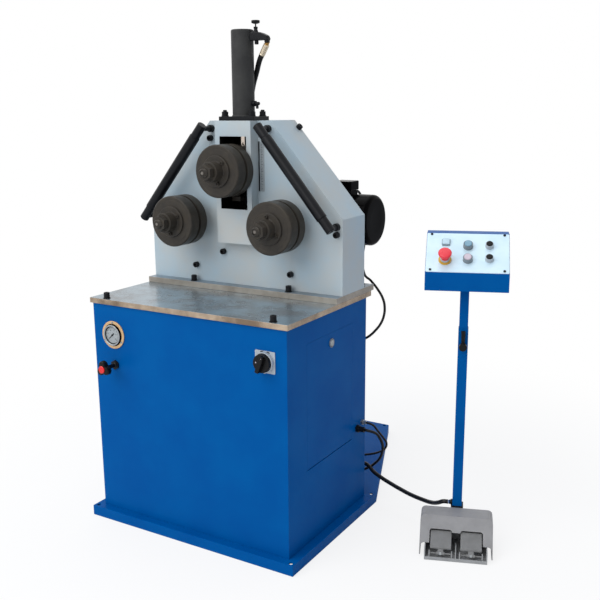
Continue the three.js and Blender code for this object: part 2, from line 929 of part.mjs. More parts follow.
function headOutline() {
  const side = headWidth / 2;
  const top = headTopWidth / 2;
  return [
    [-side, headFloor], [side, headFloor], [side, shoulderHeight],
    [top, headTop], [-top, headTop], [-side, shoulderHeight],
  ];
}

// Cap screws on the face, in pairs left and right
function capScrews() {
  const reach = [headFace - capScrewHeight, headFace + facePlate / 2];
  const places = [
    [headTopWidth / 2 - crownScrewInset[0], headTop - crownScrewInset[1]],
    [headWidth / 2 - sideScrewInset[0], shoulderHeight - sideScrewInset[1]],
    ...lowScrewPlaces.map(([side, rise]) => [side, headFloor + rise]),
  ];
  return places.flatMap(([side, height]) => [-side, side].map((x) => (
    rod(capScrew, 'y', ...reach, [x, height], screwSides)
  )));
}

// Gland on the crown where the hose enters the head
function hoseGlandBody() {
  const hexTop = headTop + hoseGlandHexHeight;
  return [
    prism(hexagon(hoseGlandFlats, hoseGland), 'z', headTop - overrun, hexTop),
    rod(hoseGlandNeck, 'z', hexTop - overrun, hexTop + hoseGlandNeckHeight, hoseGland, smallSides),
  ];
}

// Welded head: face plate, rim, bearing bosses and the box that guides the ram
function headCasing() {
  const outline = headOutline();
  const inside = headFace + facePlate;
  const shell = cut(
    prism(outline, 'y', headFace, headBack),
    prism(shrunk(outline, headSheet), 'y', inside, headBack + overrun),
  );
  const crown = block(
    [-headTopWidth / 2 + headSheet, headTopWidth / 2 - headSheet],
    [headFace + facePlate / 2, ramBack + fit + guideLip],
    [headTop - topPlate, headTop - headSheet / 2],
  );
  const guideSide = guideWidth / 2;
  const guideBox = block(
    [-guideSide, guideSide], [guideFace, headFace + facePlate / 2], [headFloor + guideBottom, headTop],
  );
  const cheekSide = ramWidth / 2 + fit + cheekWall;
  const cheeks = block(
    [-cheekSide, cheekSide],
    [headFace + facePlate / 2, ramBack + fit + guideLip],
    [headFloor + guideBottom, headTop - topPlate / 2],
  );
  const bosses = [-rollSpread / 2, rollSpread / 2].map((x) => (
    rod(bearingBoss, 'y', headFace + facePlate / 2, inside + bearingLength, [x, lowerAxis], midSides)
  ));
  const pinionSeat = rod(
    pinionBoss, 'y', headFace + facePlate / 2, inside + pinionBossLength, [0, pinionAxis], midSides,
  );
  const cavitySide = ramWidth / 2 + fit;
  const cavity = block(
    [-cavitySide, cavitySide], [ramFront - fit, ramBack + fit],
    [headFloor + cavityBottom, headTop - topPlate],
  );
  const rearGap = block(
    [-cavitySide + guideLipWidth, cavitySide - guideLipWidth],
    [ramBack, ramBack + guideLip + overrun],
    [headFloor + cavityBottom, headTop - topPlate],
  );
  const windowCut = block(
    [-windowWidth / 2, windowWidth / 2], [guideFace - overrun, ramFront],
    [headFloor + windowBottom, headFloor + windowBottom + windowHeight],
  );
  const slotInner = guideSide + slotOffset;
  const armBack = inside + pointerDepth + armGap + fit;
  const faceSlot = block([slotInner, slotInner + slotWidth], [headFace - overrun, armBack], slotSpan);
  const cheekSlot = block([cavitySide - overrun, slotInner + slotWidth], [inside, armBack], slotSpan);
  const rollBores = [-rollSpread / 2, rollSpread / 2].map((x) => (
    rod(shaftDiameter + 2 * runningFit, 'y', headFace - overrun, headBack, [x, lowerAxis], midSides)
  ));
  const pinionBore = rod(
    pinionShaft + 2 * runningFit, 'y', inside + pinionBossLength - pinionBearing - fit, headBack,
    [0, pinionAxis], midSides,
  );
  const rodBore = rod(
    rodDiameter + 2 * fit, 'z', headTop - topPlate - overrun, headTop + overrun, [0, cylinderAxis],
  );
  return cut(
    joined(shell, crown, guideBox, cheeks, ...bosses, pinionSeat, ...capScrews(), ...hoseGlandBody()),
    cavity, rearGap, windowCut, faceSlot, cheekSlot, ...rollBores, pinionBore, rodBore,
  );
}

// Inset back plate that carries the rear bearings
function headBackPlate() {
  const plate = prism(shrunk(headOutline(), headSheet + fit), 'y', backPlateFront, headBack);
  const bosses = [-rollSpread / 2, rollSpread / 2].map((x) => (
    rod(bearingBoss, 'y', backPlateFront - rearBossLength, headBack, [x, lowerAxis], midSides)
  ));
  const bores = [-rollSpread / 2, rollSpread / 2].map((x) => (
    rod(
      shaftDiameter + 2 * runningFit, 'y', backPlateFront - rearBossLength - overrun, headBack - shaftEndCover,
      [x, lowerAxis], midSides,
    )
  ));
  const pinionBore = rod(
    pinionShaft + 2 * runningFit, 'y', backPlateFront - overrun, headBack + overrun, [0, pinionAxis], midSides,
  );
  return cut(joined(plate, ...bosses), ...bores, pinionBore);
}

// Ram with its shaft bore, the bottom stop that hangs under it and the pointer arm of the scale
function ramBlock() {
  const side = ramWidth / 2;
  const body = block([-side, side], [ramFront, ramBack], [ramBottom, ramTop]);
  const stopTop = ramBottom - stopDrop;
  const stud = rod(
    stopStud, 'z', stopTop - stopHeight / 2, ramBottom + overrun, [-stopShift, cylinderAxis], smallSides,
  );
  const stop = block(
    [-stopShift - stopLength / 2, -stopShift + stopLength / 2],
    [cylinderAxis - stopBreadth / 2, cylinderAxis + stopBreadth / 2],
    [stopTop - stopHeight, stopTop],
  );
  const armFront = headFace + facePlate + armGap;
  const tongueX = guideWidth / 2 + slotOffset + (slotWidth - pointerThickness) / 2;
  const heights = [pointerHeight - pointerThickness / 2, pointerHeight + pointerThickness / 2];
  const arm = block([side - overrun, tongueX + pointerThickness], [armFront, armFront + pointerDepth], heights);
  const tongue = block(
    [tongueX, tongueX + pointerThickness], [headFace - pointerProud, armFront + pointerDepth], heights,
  );
  const bore = rod(
    shaftDiameter + 2 * runningFit, 'y', ramFront - overrun, ramBack + overrun, [0, upperAxis], midSides,
  );
  return cut(joined(body, stud, stop, arm, tongue), bore);
}

// Profile roll with a groove, its axis along Y through the origin
function roll() {
  const bore = shaftDiameter / 2 + fit;
  const outer = rollDiameter / 2;
  const groove = grooveDiameter / 2;
  const grooveFront = rollFront + rollFrontWidth;
  const grooveBack = grooveFront + grooveWidth;
  return ring([
    [bore, rollFront], [outer - rollChamfer, rollFront], [outer, rollFront + rollChamfer],
    [outer, grooveFront], [groove, grooveFront], [groove, grooveBack], [outer, grooveBack],
    [outer, rollBack - rollChamfer], [outer - rollChamfer, rollBack], [bore, rollBack],
  ], 'y', bigSides);
}

function shaft(collarBack, end) {
  const thread = threadDiameter / 2;
  const nose = clampFront - nutHeight - threadEnd;
  const body = shaftDiameter / 2;
  const journal = journalDiameter / 2;
  const collar = shaftCollar / 2;
  return turned([
    [0, nose], [thread - threadChamfer, nose], [thread, nose + threadChamfer], [thread, clampFront + fit],
    [journal, clampFront + fit], [journal, rollFront + fit], [body, rollFront + fit],
    [body, rollBack + fit], [collar, rollBack + fit], [collar, collarBack],
    [body, collarBack], [body, end], [0, end],
  ], 'y', midSides);
}

// Involute flank: the half angle of a tooth at a radius, from its value at the pitch circle
function gearOutline(teeth, phase) {
  const pitch = gearModule * teeth / 2;
  const base = pitch * Math.cos(radians(pressureAngle));
  const involute = (angle) => Math.tan(angle) - angle;
  const half = Math.PI / 2 / teeth - backlash / 4 / pitch + involute(radians(pressureAngle));
  const halfAt = (radius) => half - involute(Math.acos(Math.min(1, base / radius)));
  const root = pitch - gearModule * dedendumShare;
  const tip = pitch + gearModule * addendumShare;
  return Array.from({ length: teeth }, (unused, i) => {
    const middle = phase + 2 * Math.PI * i / teeth;
    return [[root, -halfAt(root)], [tip, -halfAt(tip)], [tip, halfAt(tip)], [root, halfAt(root)]].map(
      ([radius, turn]) => [radius * Math.cos(middle + turn), radius * Math.sin(middle + turn)],
    );
  }).flat();
}

// The pinion stands with a tooth straight up, and each roll gear turns a gap towards its nearest tooth
const pinionPhase = Math.PI / 2;

function rollGearPhase() {
  const heading = Math.atan2(pinionDrop, rollSpread / 2);
  const pitchTurn = 2 * Math.PI / pinionTeeth;
  const offset = pinionPhase - heading;
  const nearest = offset - pitchTurn * Math.round(offset / pitchTurn);
  const gap = heading + Math.PI - nearest * pinionTeeth / rollGearTeeth;
  return gap + Math.PI / rollGearTeeth;
}

function lowerShaft(gearPhase) {
  return joined(
    shaft(headFace - collarGap, headBack - shaftEndCover - fit),
    prism(gearOutline(rollGearTeeth, gearPhase), 'y', gearFront, gearBack),
  );
}

function drivePinion() {
  const front = headFace + facePlate + pinionBossLength - pinionBearing;
  return joined(
    rod(pinionShaft, 'y', front, headBack + pinionReach, [0, 0], midSides),
    prism(gearOutline(pinionTeeth, pinionPhase), 'y', gearFront, gearBack),
  );
}

// Clamp flange with a long collar and three cap screws
function clampFlange(screwTurn) {
  const bore = journalDiameter / 2 + fit;
  const collar = clampCollar / 2;
  const rim = clampDiameter / 2;
  const body = ring([
    [bore, clampFront], [collar, clampFront], [collar, clampFace], [rim, clampFace],
    [rim, clampFace + clampThickness], [bore, clampFace + clampThickness],
  ], 'y', midSides);
  const places = circle(clampScrewCircle, clampScrewCount, [0, 0], radians(screwTurn));
  const screws = places.map((place) => (
    rod(clampScrew, 'y', clampFace - clampScrewHeight, clampFace + clampThickness / 2, place, screwSides)
  ));
  return joined(body, ...screws);
}

function lockNut() {
  const back = clampFront - fit;
  return prism(hexagon(nutFlats), 'y', back - nutHeight, back, [circle(threadDiameter + 2 * fit, midSides)]);
}

// Barrel open at its foot, with the lower port and its short nose on the right
function cylinderBarrel() {
  const outer = barrelDiameter / 2;
  const bore = barrelBore / 2;
  const barrel = turned([
    [0, barrelTop - barrelEnd], [bore, barrelTop - barrelEnd], [bore, flangeTop], [outer, flangeTop],
    [outer, barrelTop - barrelChamfer], [outer - barrelChamfer, barrelTop], [0, barrelTop],
  ], 'z', bigSides, [0, cylinderAxis]);
  const height = flangeTop + lowerPortRise;
  const centre = [cylinderAxis, height];
  const inWall = (bore + outer) / 2;
  const hexEnd = outer + lowerPortLength;
  const noseEnd = hexEnd + lowerNoseLength;
  return joined(
    barrel,
    prism(hexagon(lowerPortFlats, centre), 'x', inWall, hexEnd),
    rod(lowerNose, 'x', hexEnd - overrun, noseEnd, centre, smallSides),
    rod(lowerStub, 'z', height - lowerStubDrop, height, [noseEnd - lowerStub, cylinderAxis], smallSides),
  );
}

// Flange plate with its four studs, each with a washer and a nut
function cylinderFlange() {
  const reach = [cylinderAxis - flangeDepth / 2, cylinderAxis + flangeDepth / 2];
  const washerTop = flangeTop + washerThickness;
  const nutTop = washerTop + flangeBoltHeight;
  const bolts = [-flangeBoltSpread / 2, flangeBoltSpread / 2].flatMap((x) => (
    [cylinderAxis - flangeBoltPitch / 2, cylinderAxis + flangeBoltPitch / 2].flatMap((y) => [
      rod(washerDiameter, 'z', flangeTop - overrun, washerTop, [x, y], screwSides),
      prism(hexagon(flangeBoltFlats, [x, y]), 'z', flangeTop, nutTop),
      rod(flangeStud, 'z', washerTop, nutTop + flangeBoltEnd, [x, y], screwSides),
    ])
  ));
  return cut(
    joined(block([-flangeWidth / 2, flangeWidth / 2], reach, [headTop, flangeTop]), ...bolts),
    rod(rodDiameter + 2 * fit, 'z', headTop - overrun, flangeTop + overrun, [0, cylinderAxis]),
  );
}

function pistonRod() {
  const piston = ramTop + pistonRise;
  const radius = rodDiameter / 2;
  const head = barrelBore / 2 - fit;
  return turned([
    [0, ramTop], [radius, ramTop], [radius, piston], [head, piston],
    [head, piston + pistonThickness], [0, piston + pistonThickness],
  ], 'z', midSides, [0, cylinderAxis]);
}

// Port block on the barrel with its elbow, crimped hose end and the seat of the bleed valve
function portBlock() {
  const skin = barrelDiameter / 2;
  const top = barrelTop - portBlockBelowTop;
  const bottom = top - portBlockHeight;
  const end = skin + portBlockReach;
  const halfDepth = portBlockDepth / 2;
  const body = prism([
    [skin / 2, bottom], [end, bottom], [end, top - portBlockSlope], [skin + portBlockReach / 2, top],
    [skin / 2, top],
  ], 'y', cylinderAxis - halfDepth, cylinderAxis + halfDepth);
  const boss = rod(
    portBoss, 'z', bottom - portBossDrop, top - portBlockHeight / 2,
    [skin + portBossReach, cylinderAxis], smallSides,
  );
  const elbow = block(
    [end - elbowWidth / 2, end + elbowWidth],
    [cylinderAxis - elbowDepth / 2, cylinderAxis + elbowDepth / 2],
    [bottom - elbowDrop, bottom + elbowRise],
  );
  const ferrule = along(ferruleTop, ferruleFoot, rod(
    ferruleDiameter, 'z', 0, distance(ferruleTop, ferruleFoot), [0, 0], smallSides,
  ));
  const bleedCentre = [skin + bleedReach, cylinderAxis];
  const coneTop = top + bleedConeHeight;
  const bleedSeat = turned([
    [0, top - overrun], [bleedCone / 2, top - overrun], [bleedConeTop / 2, coneTop],
    [bleedCollar / 2, coneTop], [bleedCollar / 2, coneTop + bleedCollarHeight],
    [0, coneTop + bleedCollarHeight],
  ], 'z', smallSides, bleedCentre);
  const bleedBore = rod(
    bleedStem + 2 * fit, 'z', coneTop + bleedCollarHeight - bleedStemReach - fit,
    coneTop + bleedCollarHeight + overrun, bleedCentre, smallSides,
  );
  const skinCut = rod(
    barrelDiameter + 2 * fit, 'z', flangeTop, barrelTop + overrun, [0, cylinderAxis], bigSides,
  );
  return cut(joined(body, boss, elbow, ferrule, bleedSeat), skinCut, bleedBore);
}

function bleedKnobPart() {
  const collarTop = barrelTop - portBlockBelowTop + bleedConeHeight + bleedCollarHeight;
  const knobBottom = collarTop + bleedCollarHeight + bleedKnobGap;
  return turned([
    [0, collarTop - bleedStemReach], [bleedStem / 2, collarTop - bleedStemReach],
    [bleedStem / 2, knobBottom], [bleedKnob / 4, knobBottom],
    [bleedKnob / 2, knobBottom + bleedKnobHeight / 2], [bleedKnob / 2, knobBottom + bleedKnobHeight],
    [0, knobBottom + bleedKnobHeight],
  ], 'z', smallSides, [barrelDiameter / 2 + bleedReach, cylinderAxis]);
}

// One guard bar: a sleeve on two plugs, on two posts that stand on the face
function guardBar(hand) {
  const place = headFace - barStandoff;
  const from = [hand * (headTopWidth / 2 - barTopInset[0]), place, headTop - barTopInset[1]];
  const to = [hand * (headWidth / 2 - barFootInset[0]), place, shoulderHeight - barFootInset[1]];
  const length = distance(from, to);
  const plug = barDiameter / 2;
  const sleeve = barSleeve / 2;
  const bar = along(from, to, turned([
    [0, 0], [plug, 0], [plug, barTopPlug], [sleeve, barTopPlug], [sleeve, length - barFootPlug],
    [plug, length - barFootPlug], [plug, length], [0, length],
  ], 'z', smallSides));
  const run = [(to[0] - from[0]) / length, (to[2] - from[2]) / length];
  const posts = [barPostInset, length - barPostInset].flatMap((station) => {
    const centre = [
      from[0] + run[0] * station - hand * run[1] * barPostShift,
      from[2] + run[1] * station + hand * run[0] * barPostShift,
    ];
    return [
      rod(barPost, 'y', place, headFace, centre, smallSides),
      rod(barBoss, 'y', headFace - barBossLength, headFace, centre, smallSides),
    ];
  });
  return joined(bar, ...posts);
}

function scaleStrip() {
  const inner = guideWidth / 2 + slotOffset + slotWidth + scaleGap;
  return block([inner, inner + scaleWidth], [headFace - scaleThickness, headFace], slotSpan);
}

// Worm gearbox on the back plate, its output bore on the pinion axis
function gearboxHousing() {
  const side = gearboxWidth / 2;
  const radii = [gearboxCorner, gearboxCorner, gearboxCorner, gearboxCorner];
  const bodyFront = headBack + gearboxFlangeThickness;
  const bodyBack = headBack + gearboxDepth;
  const body = prism(
    rounded([-side, side], [pinionAxis - gearboxBelow, pinionAxis + gearboxAbove], radii),
    'y', bodyFront, bodyBack,
  );
  const flange = rod(gearboxFlange, 'y', headBack, bodyFront + overrun, [0, pinionAxis], midSides);
  const cover = rod(
    gearboxCover, 'y', bodyBack - overrun, bodyBack + gearboxCoverThickness, [0, motorAxis], midSides,
  );
  const bore = rod(
    pinionShaft + 2 * runningFit, 'y', headBack - overrun, headBack + pinionReach + fit, [0, pinionAxis], midSides,
  );
  return cut(joined(body, flange, cover), bore);
}

// Motor with its flange, smooth frame, round-edged fan cowl and terminal box
function motorBody() {
  const start = gearboxWidth / 2;
  const frame = motorDiameter / 2;
  const cowl = cowlDiameter / 2;
  const cowlStart = motorEnd - cowlLength;
  const edge = Array.from({ length: arcSteps + 1 }, (unused, i) => {
    const angle = Math.PI / 2 * i / arcSteps;
    return [
      cowl - cowlRound + cowlRound * Math.cos(angle),
      motorEnd - cowlRound + cowlRound * Math.sin(angle),
    ];
  });
  const drum = turned([
    [0, start], [motorFlange / 2, start], [motorFlange / 2, start + motorFlangeThickness],
    [frame, start + motorFlangeThickness], [frame, cowlStart], [cowl, cowlStart],
    ...edge, [0, motorEnd],
  ], 'x', bigSides, [motorMiddle, motorAxis]);
  const seat = motorAxis + frame - terminalBase / 2;
  const baseTop = seat + terminalBase;
  const middle = start + terminalPlace;
  const reach = (step) => [
    [middle - terminalWidth / 2 + step, middle + terminalWidth / 2 - step],
    [motorMiddle - terminalDepth / 2 + step, motorMiddle + terminalDepth / 2 - step],
  ];
  const corner = 2 * terminalLidStep;
  const radii = [corner, corner, corner, corner];
  const base = block(...reach(terminalLidStep), [seat - overrun, baseTop + overrun]);
  const lid = prism(rounded(...reach(0), radii), 'z', baseTop, baseTop + terminalLid);
  const outlet = gland(
    glandTiny, 'y', motorMiddle + terminalDepth / 2 - terminalLidStep, motorGlandPlace,
  );
  return joined(drum, base, lid, outlet);
}

// Gauge case: cream flange, bezel and a recessed dial with the pin of the needle
function gaugeCase() {
  const flangeFace = cabinetFront - gaugeFlangeThickness;
  const bezelFace = flangeFace - gaugeBezelDepth;
  const dialFace = bezelFace + gaugeRecessDepth;
  const pinEnd = dialFace - needleThickness - 2 * fit;
  const body = turned([
    [0, cabinetFront + gaugeBodyDepth], [gaugeBody / 2, cabinetFront + gaugeBodyDepth],
    [gaugeBody / 2, cabinetFront], [gaugeFlange / 2, cabinetFront], [gaugeFlange / 2, flangeFace],
    [gaugeBezel / 2, flangeFace], [gaugeBezel / 2, bezelFace], [gaugeRecess / 2, bezelFace],
    [gaugeRecess / 2, dialFace], [0, dialFace],
  ], 'y', midSides, gaugePlace);
  return joined(body, rod(needlePin, 'y', pinEnd, dialFace + overrun, gaugePlace, smallSides));
}

// Needle about the gauge centre, pointing at the zero of the dial
function gaugeNeedle() {
  const back = cabinetFront - gaugeFlangeThickness - gaugeBezelDepth + gaugeRecessDepth - fit;
  const front = back - needleThickness;
  const pointer = prism([
    [-needleTail, -needleWidth / 2], [0, -needleWidth / 2], [needleLength, -needleWidth / 6],
    [needleLength, needleWidth / 6], [0, needleWidth / 2], [-needleTail, needleWidth / 2],
  ], 'y', front, back);
  pointer.rotateY(-radians(needleZeroTurn));
  return cut(
    joined(pointer, rod(needleHub, 'y', front, back, [0, 0], smallSides)),
    rod(needlePin + 2 * fit, 'y', front - overrun, back + overrun, [0, 0], smallSides),
  );
}

// Relief valve: shank through the sheet, hexagon, neck and the bore of the knob's stem
function valveBush() {
  const baseFace = cabinetFront - valveBaseDepth;
  const neckFace = baseFace - valveNeckDepth;
  const body = joined(
    rod(valveShank, 'y', cabinetFront - overrun, cabinetFront + valveShankDepth, valvePlace),
    prism(hexagon(valveBase, valvePlace), 'y', baseFace, cabinetFront),
    rod(valveNeck, 'y', neckFace, baseFace + overrun, valvePlace, smallSides),
  );
  return cut(body, rod(
    valveStem + 2 * fit, 'y', neckFace - overrun, neckFace + valveStemReach + fit, valvePlace, smallSides,
  ));
}

// Star knob about its own axis: its radius swells and shrinks once for each lobe
function valveKnob() {
  const back = cabinetFront - valveBaseDepth - valveNeckDepth - fit;
  const front = back - valveKnobDepth;
  const outline = Array.from({ length: valveKnobSteps }, (unused, i) => {
    const angle = 2 * Math.PI * i / valveKnobSteps;
    const swell = Math.cos(valveLobes * (angle - radians(valveTurn)));
    const radius = valveKnobRadius * (1 - valveLobeShare * (1 - swell) / 2);
    return [radius * Math.cos(angle), radius * Math.sin(angle)];
  });
  return joined(
    prism(outline, 'y', front, back),
    rod(valveStem, 'y', front, back + fit + valveStemReach, [0, 0], smallSides),
    rod(valveCap, 'y', front - valveCapDepth, back, [0, 0], smallSides),
  );
}

// Main switch: plate and collar outside, neck and contact block inside
function switchPlate() {
  const [x, z] = switchPlace;
  const plateFace = cabinetFront - switchPlateThickness;
  const collarFace = plateFace - switchCollarDepth;
  const inside = cabinetFront + cabinetSheet;
  const half = switchBodySide / 2;
  const body = joined(
    block(
      [x - switchPlateWidth / 2, x + switchPlateWidth / 2], [plateFace, cabinetFront],
      [z - switchPlateHeight / 2, z + switchPlateHeight / 2],
    ),
    rod(switchCollar, 'y', collarFace, plateFace + switchPlateThickness / 2, switchPlace),
    rod(switchNeck, 'y', cabinetFront - switchPlateThickness / 2, inside + overrun, switchPlace),
    block([x - half, x + half], [inside, inside + switchBodyDepth], [z - half, z + half]),
  );
  return cut(body, rod(
    switchBore + 2 * fit, 'y', collarFace - overrun, collarFace + switchStemReach + fit, switchPlace,
    smallSides,
  ));
}

// Switch knob about its own axis, with a tapered grip
function switchKnobPart() {
  const back = cabinetFront - switchPlateThickness - switchCollarDepth - fit;
  const discFace = back - switchKnobDepth;
  const half = switchGripWidth / 2;
  const rear = switchKnob / 2;
  const grip = prism([
    [0, -switchGripLength], [half, -switchGripLength + half], [half, rear / 2], [half / 2, rear - half / 2],
    [-half / 2, rear - half / 2], [-half, rear / 2], [-half, -switchGripLength + half],
  ], 'y', discFace - switchGripHeight, discFace + switchKnobDepth / 2);
  grip.rotateY(radians(switchTurn));
  return joined(
    rod(switchKnob, 'y', discFace, back),
    grip,
    rod(switchBore, 'y', discFace, back + fit + switchStemReach, [0, 0], smallSides),
  );
}

// Oil tank with pump motor, bell housing, valve block and filler cap
function powerPack() {
  const lidBottom = trayHeight + tankHeight;
  const lidTop = lidBottom + tankLidThickness;
  const half = tankDepth / 2;
  const left = tankShift - tankWidth / 2;
  const right = tankShift + tankWidth / 2;
  const bellTop = lidTop + pumpBellHeight;
  const sides = [tankLidStep, tankLidStep, tankLidStep, tankLidStep];
  return joined(
    prism(rounded([left, right], [-half, half], sides), 'z', trayHeight, lidBottom),
    block(
      [left - tankLidStep, right + tankLidStep], [-half - tankLidStep, half + tankLidStep],
      [lidBottom, lidTop],
    ),
    rod(pumpBell, 'z', lidBottom, bellTop, [pumpMotorShift, 0], midSides),
    rod(pumpMotorDiameter, 'z', bellTop, bellTop + pumpMotorHeight, [pumpMotorShift, 0], midSides),
    block(
      [valveBlockShift - valveBlockSide / 2, valveBlockShift + valveBlockSide / 2],
      [0, valveBlockSide], [lidBottom, lidTop + valveBlockHeight],
    ),
    rod(fillerCap, 'z', lidBottom, lidTop + fillerCapHeight, fillerPlace, smallSides),
  );
}

// A square tube standing on Z
function squareTube(side, wall, from, to) {
  const outer = side / 2;
  const inner = outer - wall;
  const corner = [[-inner, -inner], [inner, -inner], [inner, inner], [-inner, inner]];
  return prism([[-outer, -outer], [outer, -outer], [outer, outer], [-outer, outer]], 'z', from, to, [corner]);
}

// Lower pole with the threaded boss of the clamp lever
function poleLower() {
  const face = -poleSide / 2;
  const tube = squareTube(poleSide, poleWall, footSheet + fit, poleTop);
  const boss = rod(
    clampBoss, 'y', face - clampBossDepth, face + poleWall / 2, [0, clampRise], smallSides,
  );
  const bore = rod(
    clampStem + 2 * fit, 'y', face - clampBossDepth - overrun, face + poleWall + overrun,
    [0, clampRise], smallSides,
  );
  const conduitGland = gland(glandTiny, 'x', face, [0, conduitPoleRise], -1);
  return cut(joined(tube, boss, conduitGland), bore);
}

function poleUpper() {
  const side = poleSide - 2 * poleWall - 2 * fit;
  return squareTube(side, slideWall, poleTop - slideInside, boxFloor + slideIntoBox);
}

// Clamp lever about the screw's axis: hub, screw and upright handle
function clampLever() {
  const bossFace = -poleSide / 2 - clampBossDepth;
  const hubBack = bossFace - fit;
  const hubFront = hubBack - clampHubDepth;
  const screwEnd = -poleSide / 2 + poleWall - fit;
  const leverFront = hubBack - leverDepth;
  const handle = prism([
    [-leverWidth / 2, 0], [leverWidth / 2, 0], [leverTipWidth / 2, leverRise],
    [-leverTipWidth / 2, leverRise],
  ], 'y', leverFront, leverFront + leverDepth);
  return joined(
    rod(clampHub, 'y', hubFront, hubBack, [0, 0], smallSides),
    rod(clampStem, 'y', hubBack - overrun, screwEnd, [0, 0], smallSides),
    handle,
  );
}

// Side view of the control box, as places along Y and Z
function boxOutline() {
  const slopeBack = -boxFront + panelLength * Math.cos(radians(panelTilt));
  const bottom = boxFloor;
  const shoulder = bottom + boxFrontHeight;
  const top = shoulder + panelLength * Math.sin(radians(panelTilt));
  const back = slopeBack + boxTopDepth;
  return [[-boxFront, bottom], [back, bottom], [back, top], [slopeBack, top], [-boxFront, shoulder]];
}

// A body modelled on the panel, laid at its place on the sloped face
function onSlope(geometry) {
  return geometry.rotateX(radians(panelTilt)).translate(boxShift, -boxFront, boxFloor + boxFrontHeight);
}

function controlBox() {
  const outline = boxOutline();
  const half = boxWidth / 2;
  const inner = half - boxSheet;
  const shell = cut(
    prism(outline, 'x', -half, half).translate(boxShift, 0, 0),
    prism(shrunk(outline, boxSheet), 'x', -inner, inner).translate(boxShift, 0, 0),
  );
  const margin = panelOpeningMargin;
  const opening = onSlope(block(
    [-half + margin, half - margin], [margin, panelLength - margin], [-2 * boxSheet, boxSheet],
  ));
  const poleHalf = poleSide / 2 - poleWall;
  const poleHole = block(
    [-poleHalf, poleHalf], [-poleHalf, poleHalf], [boxFloor - overrun, boxFloor + boxSheet + overrun],
  );
  return cut(shell, opening, poleHole);
}

// A button body: round bezel above the panel and square contact block under it
function buttonSeat([a, s], bezel, height) {
  const half = contactBlock / 2;
  return joined(
    rod(bezel, 'z', panelThickness / 2, panelThickness + height, [a, s], smallSides),
    block([a - half, a + half], [s - half, s + half], [-contactBlockDepth, panelThickness / 2]),
  );
}

function capBore([a, s], cap, height) {
  const face = panelThickness + height;
  const foot = face + capProud - capDepth - capTravel - fit;
  return rod(cap + 2 * fit, 'z', foot, face + overrun, [a, s], smallSides);
}

// Panel plate with its screws, button bodies, pilot lamp and the ring and collar of the stop button
function controlPanel() {
  const half = boxWidth / 2 - panelMargin;
  const plate = block([-half, half], [panelMargin, panelLength - panelMargin], [0, panelThickness]);
  const side = half - panelScrewSide + panelMargin;
  const rows = [panelScrewEnd, panelLength - panelScrewEnd];
  const screws = rows.flatMap((s) => [-side, side].map((a) => (
    rod(panelScrew, 'z', panelThickness / 2, panelThickness + panelScrewHeight, [a, s], screwSides)
  )));
  const lamp = joined(
    buttonSeat(lampPlace, lampBezel, lampHeight / 2),
    rod(lampLens, 'z', panelThickness, panelThickness + lampHeight, lampPlace, smallSides),
  );
  const ringTop = panelThickness + stopRingHeight;
  const stop = joined(
    buttonSeat(stopPlace, stopCollar, stopCollarHeight),
    rod(stopRing, 'z', panelThickness / 2, ringTop, stopPlace, midSides),
  );
  const stopBore = rod(
    stopButtonStem + 2 * fit, 'z', panelThickness + stopHeadRise - contactBlockDepth,
    panelThickness + stopCollarHeight + overrun, stopPlace, midSides,
  );
  const seats = [
    ...lensPlaces.map((place) => buttonSeat(place, lensBezel, lensBezelHeight)),
    ...pushPlaces.map((place) => buttonSeat(place, pushBezel, pushBezelHeight)),
  ];
  const bores = [
    ...lensPlaces.map((place) => capBore(place, lensCap, lensBezelHeight)),
    ...pushPlaces.map((place) => capBore(place, pushCap, pushBezelHeight)),
  ];
  return cut(joined(plate, ...screws, lamp, stop, ...seats), stopBore, ...bores);
}

// A push cap about its own axis, its rim rounded off by a chamfer
function pushCapPart(cap, bezelHeight) {
  const face = panelThickness + bezelHeight + capProud;
  const radius = cap / 2;
  const edge = capProud / 2;
  return turned([
    [0, face - capDepth], [radius, face - capDepth], [radius, face - edge], [radius - edge, face], [0, face],
  ], 'z', smallSides);
}

// Mushroom head of the stop button about its own axis
function stopButton() {
  const bottom = panelThickness + stopHeadRise;
  const top = bottom + stopHeadHeight;
  const rim = stopHead / 2;
  const neck = stopNeck / 2;
  const collarTop = panelThickness + stopCollarHeight + stopTravel + fit;
  return turned([
    [0, bottom - contactBlockDepth + stopTravel + fit],
    [stopButtonStem / 2, bottom - contactBlockDepth + stopTravel + fit],
    [stopButtonStem / 2, collarTop], [neck, collarTop], [neck, bottom], [rim, bottom],
    [rim, top - stopTravel], [rim - stopTravel, top], [0, top],
  ], 'z', midSides);
}

